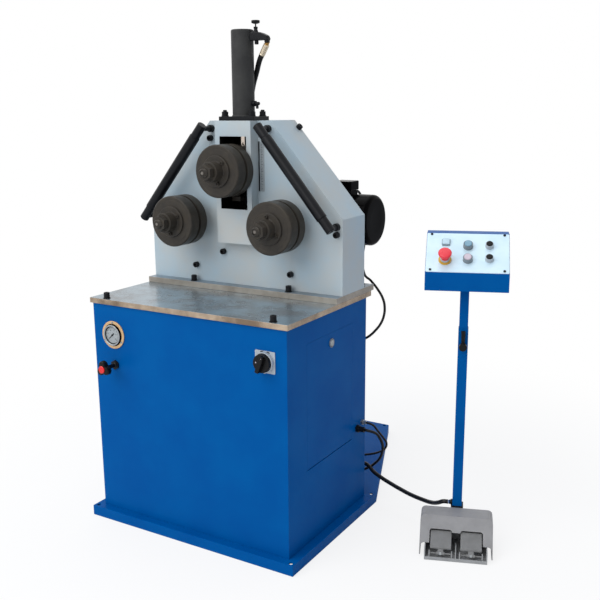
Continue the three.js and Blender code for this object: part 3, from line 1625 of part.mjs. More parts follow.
// Foot tray: floor under the whole unit, walls, front lip, rib, hinge ears, switches and the pole socket
function footTray() {
  const half = footWidth / 2;
  const front = -footFront;
  const wallTop = footSheet + footWallHeight;
  const backStart = front + coverBack - coverSheet - fit - footSheet;
  const socket = socketSide / 2;
  const hole = poleSide / 2 + fit;
  const [hingeU, hingeZ] = pedalHinge;
  const solids = [
    block([-half, half], [front, front + footLength], [0, footSheet]),
    block([-half, half], [backStart, backStart + footSheet], [0, footSheet + footBackHeight]),
    block([-half, half], [front, front + footSheet], [0, footLipHeight]),
    block([-footSheet / 2, footSheet / 2], [front, front + footRibLength], [0, footRibHeight]),
    block([-socket, socket], [-socket, socket], [0, socketHeight]),
  ];
  [-1, 1].forEach((hand) => {
    const wall = [hand * half, hand * (half - footSheet)].sort((a, b) => a - b);
    solids.push(block(wall, [front, front + footWallLength], [0, wallTop]));
    const inner = pedalMiddle - pedalWidth / 2 - pedalEarThickness - fit;
    const outer = pedalMiddle + pedalWidth / 2 + fit;
    [inner, outer].forEach((near) => {
      const reach = [hand * near, hand * (near + pedalEarThickness)].sort((a, b) => a - b);
      const earFront = front + hingeU - pedalEarWidth / 2;
      solids.push(block(reach, [earFront, earFront + pedalEarWidth], [0, footSheet + pedalEarHeight]));
    });
    const middle = hand * pedalMiddle;
    const boxStart = front + switchBoxPlace;
    const boxTop = footSheet + switchBoxHeight;
    solids.push(block(
      [middle - switchBoxWidth / 2, middle + switchBoxWidth / 2],
      [boxStart, boxStart + switchBoxLength], [0, boxTop],
    ));
    solids.push(rod(
      plungerDiameter, 'z', boxTop - overrun, boxTop + plungerHeight,
      [middle, boxStart + pedalTongueWidth / 2], smallSides,
    ));
  });
  const pinBore = rod(
    pedalPin + 2 * fit, 'x', -half + footSheet + fit, half - footSheet - fit,
    [front + hingeU, hingeZ], smallSides,
  );
  const rib = block(
    [-footSheet / 2, footSheet / 2], [front, front + footRibLength], [0, footRibHeight],
  );
  const poleHole = block([-hole, hole], [-hole, hole], [footSheet, socketHeight + overrun]);
  return joined(cut(joined(...solids), pinBore, poleHole), rib);
}

// Side view of the cover, measured back from the front edge of the foot unit
function coverOutline() {
  return [
    coverTip, [coverBack, coverTip[1]], [coverBack, coverTop], [coverCrease, coverTop], coverStripPlace,
  ].map(([u, z]) => [u - footFront, z]);
}

// Pressed cover: a hood whose side walls run down into tips, with two pedal openings in its sloped front
function footCover() {
  const half = coverWidth / 2;
  const bottom = coverTip[1];
  const front = -footFront;
  const outer = shared(
    prism(coverOutline(), 'x', -half, half),
    prism(rounded([-half, half], [bottom, coverTop], [0, 0, coverRound, coverRound]),
      'y', front, front + coverBack),
  );
  const inset = coverSheet;
  const roundInset = coverRound - inset;
  const inner = shared(
    prism(shrunk(coverOutline(), inset), 'x', -half + inset, half - inset),
    prism(
      rounded([-half + inset, half - inset], [bottom - overrun, coverTop - inset], [0, 0, roundInset, roundInset]),
      'y', front, front + coverBack,
    ),
  );
  const mouth = block(
    [-half + inset, half - inset],
    [front + coverTip[0] + 3 * inset, front + coverBack - inset],
    [bottom - overrun, bottom + 2 * inset],
  );
  const sight = [front, front + coverCrease];
  const openings = [-1, 1].map((hand) => {
    const reach = [hand * openingInner, hand * openingOuter].sort((a, b) => a - b);
    return prism(rounded(reach, [bottom - overrun, openingTop], [0, 0, openingRound, openingRound]), 'y', ...sight);
  });
  const middle = block([-openingInner - overrun, openingInner + overrun], sight, [bottom - overrun, tongueBottom]);
  const wings = prism(
    rounded(
      [-half + inset, half - inset], [bottom - overrun, coverStripPlace[1]], [0, 0, wingRound, wingRound],
    ),
    'y', ...sight,
  );
  return cut(outer, inner, mouth, ...openings, middle, wings);
}

// A pedal about its hinge: sloped plate with a front lip, knuckle, pins and the tongue over its switch
function pedal() {
  const half = pedalWidth / 2;
  const [hingeU, hingeZ] = pedalHinge;
  const [lipU, lipZ] = pedalLip;
  const [topU, topZ] = pedalTop;
  const slope = Math.atan2(topZ - lipZ, topU - lipU);
  const drop = [pedalPlate * Math.sin(slope), -pedalPlate * Math.cos(slope)];
  const bendU = lipU + pedalPlate;
  const bendZ = lipZ + pedalPlate * Math.tan(slope) - pedalPlate / Math.cos(slope);
  const plate = prism([
    [lipU, hingeZ], [bendU, hingeZ], [bendU, bendZ], [topU + drop[0], topZ + drop[1]], [topU, topZ],
    [lipU, lipZ],
  ], 'x', -half, half);
  const tongueTop = topZ - pedalPlate / 2;
  const tongue = block(
    [-pedalTongueWidth / 2, pedalTongueWidth / 2],
    [topU - pedalPlate / 2, topU + pedalTongueReach], [tongueTop - pedalPlate / 2, tongueTop],
  );
  const body = joined(
    plate, tongue,
    rod(pedalKnuckle, 'x', -half, half, pedalHinge, smallSides),
    rod(pedalPin, 'x', -half - pedalPinReach, half + pedalPinReach, pedalHinge, smallSides),
  );
  return body.translate(0, -hingeU, -hingeZ);
}

function part(name, geometry, material, place = [0, 0, 0]) {
  const mesh = new THREE.Mesh(geometry, material);
  mesh.name = name;
  mesh.position.set(...place);
  return mesh;
}

// Cabinet with its fittings
function cabinet() {
  const group = new THREE.Group();
  const [gaugeX, gaugeZ] = gaugePlace;
  const [valveX, valveZ] = valvePlace;
  const [switchX, switchZ] = switchPlace;
  group.add(
    part('base_frame', baseFrame(), bluePaint),
    part('cabinet_shell', cabinetShell(), bluePaint),
    part('side_door', sideDoor(), bluePaint),
    part('door_lock', doorLock(), zinc),
    part('table_plate', tablePlate(), bareSteel),
    part('power_pack', powerPack(), castGrey),
    part('gauge_case', gaugeCase(), brass),
    part('gauge_needle', gaugeNeedle(), blackPlastic, [gaugeX, 0, gaugeZ]),
    part('valve_bush', valveBush(), blackPlastic),
    part('valve_knob', valveKnob(), blackPlastic, [valveX, 0, valveZ]),
    part('switch_plate', switchPlate(), silverPlastic),
    part('switch_knob', switchKnobPart(), blackPlastic, [switchX, 0, switchZ]),
    part('side_gland', sideOutlet(glandSide, thickOutlet), blackPlastic),
    part('side_fitting', sideOutlet(glandSilver, thinOutlet), zinc),
  );
  return group;
}

// Head with its drive and cylinder
function head() {
  const group = new THREE.Group();
  group.add(
    part('head_base_plate', headBasePlate(), bareSteel),
    part('head_casing', headCasing(), greyPaint),
    part('head_back_plate', headBackPlate(), greyPaint),
    part('scale_strip', scaleStrip(), zinc),
    part('guard_bar_left', guardBar(-1), blackPaint),
    part('guard_bar_right', guardBar(1), blackPaint),
    part('gearbox_housing', gearboxHousing(), castGrey),
    part('motor_body', motorBody(), blackPaint),
    part('drive_pinion', drivePinion(), bareSteel, [0, 0, pinionAxis]),
    part('cylinder_barrel', cylinderBarrel(), blackPaint),
    part('cylinder_flange', cylinderFlange(), blackPaint),
    part('port_block', portBlock(), blackOxide),
    part('bleed_knob', bleedKnobPart(), blackPlastic),
    part('ram_block', ramBlock(), blackOxide),
    part('piston_rod', pistonRod(), chrome),
  );
  return group;
}

// The three roll stations: shaft, roll, clamp flange and nut about one axis each
function rollStations() {
  const group = new THREE.Group();
  const phase = rollGearPhase();
  const stations = [
    ['upper', [0, 0, upperAxis], upperScrewTurn, shaft(ramFront - fit, ramBack - upperShaftInset)],
    ['right', [rollSpread / 2, 0, lowerAxis], rightScrewTurn, lowerShaft(phase)],
    ['left', [-rollSpread / 2, 0, lowerAxis], leftScrewTurn, lowerShaft(Math.PI - phase)],
  ];
  stations.forEach(([station, place, screwTurn, shaftBody]) => {
    group.add(
      part(`${station}_shaft`, shaftBody, bareSteel, place),
      part(`${station}_roll`, roll(), blackOxide, place),
      part(`${station}_clamp_flange`, clampFlange(screwTurn), blackOxide, place),
      part(`${station}_lock_nut`, lockNut(), blackOxide, place),
    );
  });
  return group;
}

// Pedestal, turned about its pole
function pedestal() {
  const group = new THREE.Group();
  group.position.set(...pedestalPlace, 0);
  group.rotation.z = radians(pedestalTurn);
  const pedalPlace = (hand) => [
    hand * pedalMiddle, pedalHinge[0] - footFront, pedalHinge[1],
  ];
  group.add(
    part('foot_tray', footTray(), blackPaint),
    part('foot_cover', footCover(), footGrey),
    part('pedal_left', pedal(), footGrey, pedalPlace(-1)),
    part('pedal_right', pedal(), footGrey, pedalPlace(1)),
    part('pole_lower', poleLower(), bluePaint),
    part('pole_upper', poleUpper(), bluePaint),
    part('clamp_lever', clampLever(), blackPlastic, [0, 0, clampRise]),
    part('control_box', controlBox(), bluePaint),
    controls(),
  );
  return group;
}

// Panel and buttons, in a group that lies on the slope of the box
function controls() {
  const group = new THREE.Group();
  group.rotation.x = radians(panelTilt);
  group.position.set(boxShift, -boxFront, boxFloor + boxFrontHeight);
  const lift = (place) => [...place, fit];
  group.add(
    part('control_panel', controlPanel(), panelGrey, [0, 0, fit]),
    part('estop_button', stopButton(), redPlastic, lift(stopPlace)),
    part('button_blue', pushCapPart(lensCap, lensBezelHeight), blueLens, lift(lensPlaces[0])),
    part('button_white', pushCapPart(lensCap, lensBezelHeight), whiteLens, lift(lensPlaces[1])),
    part('button_up', pushCapPart(pushCap, pushBezelHeight), blackPlastic, lift(pushPlaces[0])),
    part('button_down', pushCapPart(pushCap, pushBezelHeight), blackPlastic, lift(pushPlaces[1])),
  );
  return group;
}

function cords() {
  const group = new THREE.Group();
  group.add(
    part('pressure_hose', cord(hoseRoute, hoseDiameter), rubber),
    part('motor_cable', cord(motorCableRoute, motorCableDiameter), rubber),
    part('side_cable_thin', cord(thinCableRoute, thinCableDiameter), rubber),
    part('side_cable_thick', cord(thickCableRoute, thickCableDiameter), rubber),
    part('pedal_conduit', cord(conduitRoute, conduitDiameter), rubber),
  );
  return group;
}

const ringRoller = new THREE.Group();
ringRoller.name = 'ring_roller';
ringRoller.add(cabinet(), head(), rollStations(), pedestal(), cords());

export default ringRoller;
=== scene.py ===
"""Looks of the ring roller: modelled skins, fittings, finishes, cords, light and camera.

The construction is loaded as a fixed frame of named nodes. Each operator below models one piece, or
a group of like pieces, around the nodes that it stands for. Lengths are in metres.
"""

import json
import math

import bpy
from mathutils import Matrix, Vector, geometry


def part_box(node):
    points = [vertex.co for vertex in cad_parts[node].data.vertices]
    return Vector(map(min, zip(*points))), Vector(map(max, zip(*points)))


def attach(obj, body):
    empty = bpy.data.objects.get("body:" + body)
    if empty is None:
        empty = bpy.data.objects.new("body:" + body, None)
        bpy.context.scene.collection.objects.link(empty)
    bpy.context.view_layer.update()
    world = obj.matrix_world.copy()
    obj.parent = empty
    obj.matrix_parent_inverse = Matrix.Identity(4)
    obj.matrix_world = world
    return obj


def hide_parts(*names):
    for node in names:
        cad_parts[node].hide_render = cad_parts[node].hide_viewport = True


bl_info = {
    "name": "Ring Roller Looks",
    "version": (1, 0, 0),
    "blender": (4, 5, 0),
    "location": "View3D > Sidebar > Ring Roller",
    "description": "Models the skins, fittings and finishes of a ring roller around its frame",
    "category": "Object",
}

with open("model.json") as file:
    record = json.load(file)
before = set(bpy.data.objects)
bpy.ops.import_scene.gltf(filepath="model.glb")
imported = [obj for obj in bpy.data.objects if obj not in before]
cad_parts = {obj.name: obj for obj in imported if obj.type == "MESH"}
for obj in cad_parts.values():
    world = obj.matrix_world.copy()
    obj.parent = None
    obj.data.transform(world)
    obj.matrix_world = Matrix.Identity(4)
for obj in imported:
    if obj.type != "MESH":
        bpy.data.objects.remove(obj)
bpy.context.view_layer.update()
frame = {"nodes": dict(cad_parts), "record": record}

BODY_OF = {
    node: body for body, nodes in frame["record"]["behaviour"]["bodies"].items() for node in nodes
}

FORWARD = Vector((0, -1, 0))
BACKWARD = Vector((0, 1, 0))
RIGHT = Vector((1, 0, 0))
UP = Vector((0, 0, 1))
# Faces that lie closer than this to one plane are merged
FACET = math.radians(0.6)


# Small helpers


def linear(code):
    """An sRGB hex colour as the linear colour that the nodes want."""
    parts = [int(code[i : i + 2], 16) / 255 for i in (1, 3, 5)]
    return tuple(c / 12.92 if c <= 0.04045 else ((c + 0.055) / 1.055) ** 2.4 for c in parts) + (1.0,)


def clear_selection():
    for piece in bpy.context.selected_objects:
        piece.select_set(False)


def alone(piece):
    """Selects one piece and nothing else."""
    clear_selection()
    bpy.context.view_layer.objects.active = piece
    piece.select_set(True)
    return piece


def put(piece, matrix):
    """Moves a piece to its place, and leaves its object at the origin with the place in its mesh."""
    alone(piece)
    piece.matrix_world = matrix @ piece.matrix_world
    bpy.ops.object.transform_apply(location=True, rotation=True, scale=True)
    return piece


def shift(x=0.0, y=0.0, z=0.0):
    return Matrix.Translation((x, y, z))


def spun(angle):
    """A turn about the Z axis."""
    return Matrix.Rotation(angle, 4, "Z")


def facing(direction, place=(0, 0, 0), spin=0.0):
    """The turn that brings the Z axis to a direction, after a spin about Z, at a place."""
    turn = UP.rotation_difference(Vector(direction)).to_matrix().to_4x4()
    return Matrix.Translation(place) @ turn @ spun(spin)


def twin(piece, name, matrix):
    """A copy of a piece with its own mesh, at another place."""
    copy = bpy.data.objects.new(name, piece.data.copy())
    bpy.context.collection.objects.link(copy)
    return put(copy, matrix)


def gathered(name, pieces):
    """Joins pieces that belong together into one."""
    clear_selection()
    for piece in pieces:
        piece.select_set(True)
    bpy.context.view_layer.objects.active = pieces[0]
    bpy.ops.object.join()
    pieces[0].name = name
    return pieces[0]


def patterned(name, piece, matrices):
    """Copies a model piece to each place, joins the copies and drops the model."""
    copies = [twin(piece, name + str(i), matrix) for i, matrix in enumerate(matrices)]
    bpy.data.objects.remove(piece)
    return gathered(name, copies) if len(copies) > 1 else copies[0]


def worked(piece, kind, **settings):
    """Adds a modifier and applies it."""
    alone(piece)
    modifier = piece.modifiers.new(kind, kind)
    for key, value in settings.items():
        setattr(modifier, key, value)
    bpy.ops.object.modifier_apply(modifier=modifier.name)
    return piece


def softened(piece, edge, segments=2, limit=30):
    """Rounds the edges sharper than the limit in degrees and shades the rest smooth."""
    if edge:
        worked(
            piece, "BEVEL", width=edge, segments=segments, limit_method="ANGLE",
            angle_limit=math.radians(limit), use_clamp_overlap=True,
        )
    alone(piece)
    bpy.ops.object.shade_smooth_by_angle(angle=math.radians(limit + 8))
    return worked(piece, "WEIGHTED_NORMAL", keep_sharp=True, weight=80)


def turned(name, rims, sides=64):
    """A round piece drawn up the Z axis from its first disc: each rim is a radius and a height."""
    clear_selection()
    radius, height = rims[0]
    bpy.ops.mesh.primitive_circle_add(
        vertices=sides, radius=radius, fill_type="NGON", location=(0, 0, height),
    )
    piece = bpy.context.object
    piece.name = name
    bpy.ops.object.transform_apply(location=True)
    bpy.ops.object.mode_set(mode="EDIT")
    for (below, foot), (above, top) in zip(rims, rims[1:]):
        bpy.ops.mesh.extrude_region_move(TRANSFORM_OT_translate={"value": (0, 0, top - foot)})
        if above != below:
            share = above / below
            bpy.ops.transform.resize(value=(share, share, 1), center_override=(0, 0, top))
    bpy.ops.mesh.select_all(action="SELECT")
    bpy.ops.mesh.normals_make_consistent(inside=False)
    bpy.ops.object.mode_set(mode="OBJECT")
    travel = piece.data.attributes.new("tool_travel", "FLOAT", "POINT")
    for vertex, mark in zip(piece.data.vertices, travel.data):
        mark.value = math.hypot(vertex.co.x, vertex.co.y) - vertex.co.z
    return piece


def lathed(name, rims, sides=64, edge=0.0003, seat=None):
    """A turned piece with its edges rounded, at its seat."""
    piece = softened(turned(name, rims, sides), edge)
    return piece if seat is None else put(piece, seat)


def slab(name, outline, bottom, top):
    """A plate: an outline on the XY plane drawn up from one height to another."""
    clear_selection()
    bpy.ops.mesh.primitive_circle_add(vertices=len(outline), radius=1, fill_type="NGON")
    piece = bpy.context.object
    piece.name = name
    for vertex, (x, y) in zip(piece.data.vertices, outline):
        vertex.co = (x, y, bottom)
    bpy.ops.object.mode_set(mode="EDIT")
    bpy.ops.mesh.extrude_region_move(TRANSFORM_OT_translate={"value": (0, 0, top - bottom)})
    bpy.ops.mesh.select_all(action="SELECT")
    bpy.ops.mesh.normals_make_consistent(inside=False)
    bpy.ops.object.mode_set(mode="OBJECT")
    return piece


def block(name, low, high, edge=0.0, segments=2):
    """A squared piece between two corners, its edges rounded."""
    low, high = Vector(low), Vector(high)
    clear_selection()
    bpy.ops.mesh.primitive_cube_add(size=1, location=(low + high) / 2, scale=high - low)
    piece = bpy.context.object
    piece.name = name
    bpy.ops.object.transform_apply(location=True, scale=True)
    return softened(piece, edge, segments)


def carved(piece, tool, operation="DIFFERENCE"):
    """Cuts a piece with a tool, or keeps only what both share, and drops the tool."""
    worked(piece, "BOOLEAN", object=tool, operation=operation, solver="EXACT")
    bpy.data.objects.remove(tool)
    return piece


def hexagonal(piece, flats, turn=0.0):
    """Mills a turned piece to six flats, which leaves the arcs that a chamfered nut has."""
    clear_selection()
    bpy.ops.mesh.primitive_cylinder_add(
        vertices=6, radius=flats / math.sqrt(3), depth=1, rotation=(0, 0, turn),
    )
    return carved(piece, bpy.context.object, "INTERSECT")


def hex_piece(name, flats, bottom, top, edge=0.0003):
    """A nut or a bolt head: a chamfered disc milled to six flats."""
    corner = flats / math.sqrt(3)
    chamfer = 0.055 * flats
    disc = turned(name, [
        (corner * 0.9, bottom), (corner * 1.01, bottom + chamfer * 0.45),
        (corner * 1.01, top - chamfer * 0.45), (corner * 0.9, top),
    ], 72)
    return softened(hexagonal(disc, flats), edge, 1)


def cap_screw(name, diameter, height, bottom=0.0, socket_share=0.5):
    """A round screw head with a hexagon socket."""
    radius = diameter / 2
    chamfer = diameter * 0.06
    top = bottom + height
    head = turned(name, [(radius, bottom), (radius, top - chamfer), (radius - chamfer, top)], 40)
    clear_selection()
    bpy.ops.mesh.primitive_cylinder_add(
        vertices=6, radius=radius * socket_share * 1.1, depth=height, location=(0, 0, top),
    )
    carved(head, bpy.context.object)
    return softened(head, diameter * 0.02, 1)


def rounded_outline(width, depth, radius, steps=6):
    """A rectangle about the origin with round corners."""
    corners = [(1, 1, 0), (-1, 1, 90), (-1, -1, 180), (1, -1, 270)]
    return [
        (sx * (width / 2 - radius) + radius * math.cos(math.radians(start + 90 * k / steps)),
         sy * (depth / 2 - radius) + radius * math.sin(math.radians(start + 90 * k / steps)))
        for sx, sy, start in corners for k in range(steps + 1)
    ]


def middle(node):
    low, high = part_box(node)
    return (low + high) / 2


def half(node):
    """Half the size of a node."""
    low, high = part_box(node)
    return (high - low) / 2


def dressed(node, name, edge, segments=2, drop=None):
    """A skin for a node of the frame: its own shape, with its facets merged and its edges rounded.

    Drop says for a corner whether it belongs to a detail that is modelled anew, and is left out.
    """
    piece = bpy.data.objects.new(name, frame["nodes"][node].data.copy())
    bpy.context.collection.objects.link(piece)
    piece.data.materials.clear()
    alone(piece)
    bpy.ops.object.mode_set(mode="EDIT")
    bpy.ops.mesh.select_all(action="SELECT")
    bpy.ops.mesh.remove_doubles(threshold=0.00001)
    bpy.ops.mesh.dissolve_limited(angle_limit=FACET)
    if drop:
        bpy.ops.mesh.select_all(action="DESELECT")
        bpy.ops.object.mode_set(mode="OBJECT")
        for vertex in piece.data.vertices:
            vertex.select = drop(vertex.co)
        bpy.ops.object.mode_set(mode="EDIT")
        bpy.ops.mesh.delete(type="VERT")
        bpy.ops.mesh.select_all(action="SELECT")
        bpy.ops.mesh.fill_holes(sides=0)
        bpy.ops.mesh.dissolve_limited(angle_limit=FACET)
    bpy.ops.object.mode_set(mode="OBJECT")
    return softened(piece, edge, segments)


def settle(piece, node, finish, slot=None):
    """Gives a piece its finish and lets it ride with a node's body.

    Without a slot the piece stands for the node. With one it is a detail beside the node's skin.
    """
    piece.data.materials.clear()
    piece.data.materials.append(finished(finish))
    if slot is None:
        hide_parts(node)
    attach(piece, BODY_OF[node])
    return piece


def clad(node, finish, edge, segments=2, name=None, drop=None):
    """Stands a skin of the node's own shape for the node."""
    return settle(dressed(node, name or node + "_skin", edge, segments, drop), node, finish)


# Finishes


def add(tree, kind, links=None, **settings):
    """Adds a node with its settings, and fills its sockets with values or links."""
    made = tree.nodes.new(kind)
    for key, value in settings.items():
        setattr(made, key, value)
    for key, value in (links or {}).items():
        if isinstance(value, bpy.types.NodeSocket):
            tree.links.new(value, made.inputs[key])
        else:
            made.inputs[key].default_value = value
    return made


# Painted shade: the near black that stands for the shade deep inside the guide box of the head
UNLIT = "#0d0d0e"


def stuff(name, tones, patch, grain, relief, roughness, spread, edges=None, turning=0.0, hollow=(),
          **sockets):
    """A material of one stuff: two tones in soft patches, a fine relief and an uneven gloss.

    Patch and grain are sizes in millimetres and relief is a height in millimetres. Edges are two
    tones for the cut sides of a plate, and turning is the depth in millimetres of the marks that
    a lathe leaves across the way its tool travelled. Each shade box is painted shade, a near black
    for the shade deep inside the guide: half its width, the depths at which it starts and ends, its
    bottom and its top, in metres.
    """
    material = bpy.data.materials.new(name)
    material.use_nodes = True
    tree = material.node_tree
    shader = tree.nodes["Principled BSDF"]
    texture = add(tree, "ShaderNodeTexCoord")
    ruler = add(tree, "ShaderNodeMapping", {
        "Vector": texture.outputs["Object"], "Scale": (1000, 1000, 1000),
    }).outputs[0]
    slow = add(tree, "ShaderNodeTexNoise", {
        "Vector": ruler, "Scale": 1 / patch, "Detail": 4.0, "Roughness": 0.6,
    }).outputs["Fac"]
    fine = add(tree, "ShaderNodeTexNoise", {
        "Vector": ruler, "Scale": 1 / grain, "Detail": 3.0, "Roughness": 0.55,
    }).outputs["Fac"]
    share = add(tree, "ShaderNodeMapRange", {"Value": slow, "From Min": 0.35, "From Max": 0.65})
    colour = add(tree, "ShaderNodeMix", {
        0: share.outputs[0], 6: linear(tones[0]), 7: linear(tones[1]),
    }, data_type="RGBA").outputs[2]
    if edges:
        side = add(tree, "ShaderNodeMix", {
            0: share.outputs[0], 6: linear(edges[0]), 7: linear(edges[1]),
        }, data_type="RGBA").outputs[2]
        lie = add(tree, "ShaderNodeSeparateXYZ", {"Vector": texture.outputs["Normal"]}).outputs["Z"]
        flat = add(tree, "ShaderNodeMapRange", {"Value": lie, "From Min": 0.5, "From Max": 0.8})
        colour = add(tree, "ShaderNodeMix", {
            0: flat.outputs[0], 6: side, 7: colour,
        }, data_type="RGBA").outputs[2]
    place = add(tree, "ShaderNodeSeparateXYZ", {"Vector": texture.outputs["Object"]}).outputs
    # Painted shade: inside each box the colour goes near black, where the guide lies deep in shade
    for half_width, front, rear, bottom, top in hollow:
        aside = add(tree, "ShaderNodeMath", {0: place["X"]}, operation="ABSOLUTE").outputs[0]
        near = add(tree, "ShaderNodeMath", {0: aside, 1: half_width}, operation="LESS_THAN").outputs[0]
        deep = add(tree, "ShaderNodeMath", {
            0: place["Y"], 1: (rear + front) / 2, 2: (rear - front) / 2,
        }, operation="COMPARE").outputs[0]
        low = add(tree, "ShaderNodeMath", {
            0: place["Z"], 1: (top + bottom) / 2, 2: (top - bottom) / 2,
        }, operation="COMPARE").outputs[0]
        both = add(tree, "ShaderNodeMath", {0: near, 1: deep}, operation="MULTIPLY").outputs[0]
        inside = add(tree, "ShaderNodeMath", {0: both, 1: low}, operation="MULTIPLY").outputs[0]
        colour = add(tree, "ShaderNodeMix", {
            0: inside, 6: colour, 7: linear(UNLIT),
        }, data_type="RGBA").outputs[2]
    gloss = add(tree, "ShaderNodeMapRange", {
        "Value": slow, "From Min": 0.3, "From Max": 0.7,
        "To Min": roughness - spread, "To Max": roughness + spread,
    })
    bump = add(tree, "ShaderNodeBump", {"Height": fine, "Strength": 1.0, "Distance": relief / 1000})
    if turning:
        travel = add(tree, "ShaderNodeAttribute", attribute_name="tool_travel").outputs["Fac"]
        marks = add(tree, "ShaderNodeTexNoise", {
            "W": add(tree, "ShaderNodeMath", {0: travel, 1: 1000.0}, operation="MULTIPLY").outputs[0],
            "Scale": 0.6, "Detail": 2.0,
        }, noise_dimensions="1D").outputs["Fac"]
        bump = add(tree, "ShaderNodeBump", {
            "Height": marks, "Strength": 1.0, "Distance": turning / 1000, "Normal": bump.outputs[0],
        })
    tree.links.new(colour, shader.inputs["Base Color"])
    tree.links.new(gloss.outputs[0], shader.inputs["Roughness"])
    tree.links.new(bump.outputs[0], shader.inputs["Normal"])
    for key, value in sockets.items():
        shader.inputs[key.replace("_", " ")].default_value = value
    return material


# Painted shade inside the guide box of the head, a near black for the shade deep in its window and
# slot, in metres: half the width, the depths at which it starts and ends, its bottom and its top.
# The slot beside the window is a little wider and deeper.
GUIDE_SHADE_BOXES = ((0.0575, 0.0305, 0.18, 0.885, 1.2327), (0.0712, 0.0672, 0.18, 0.885, 1.2327))

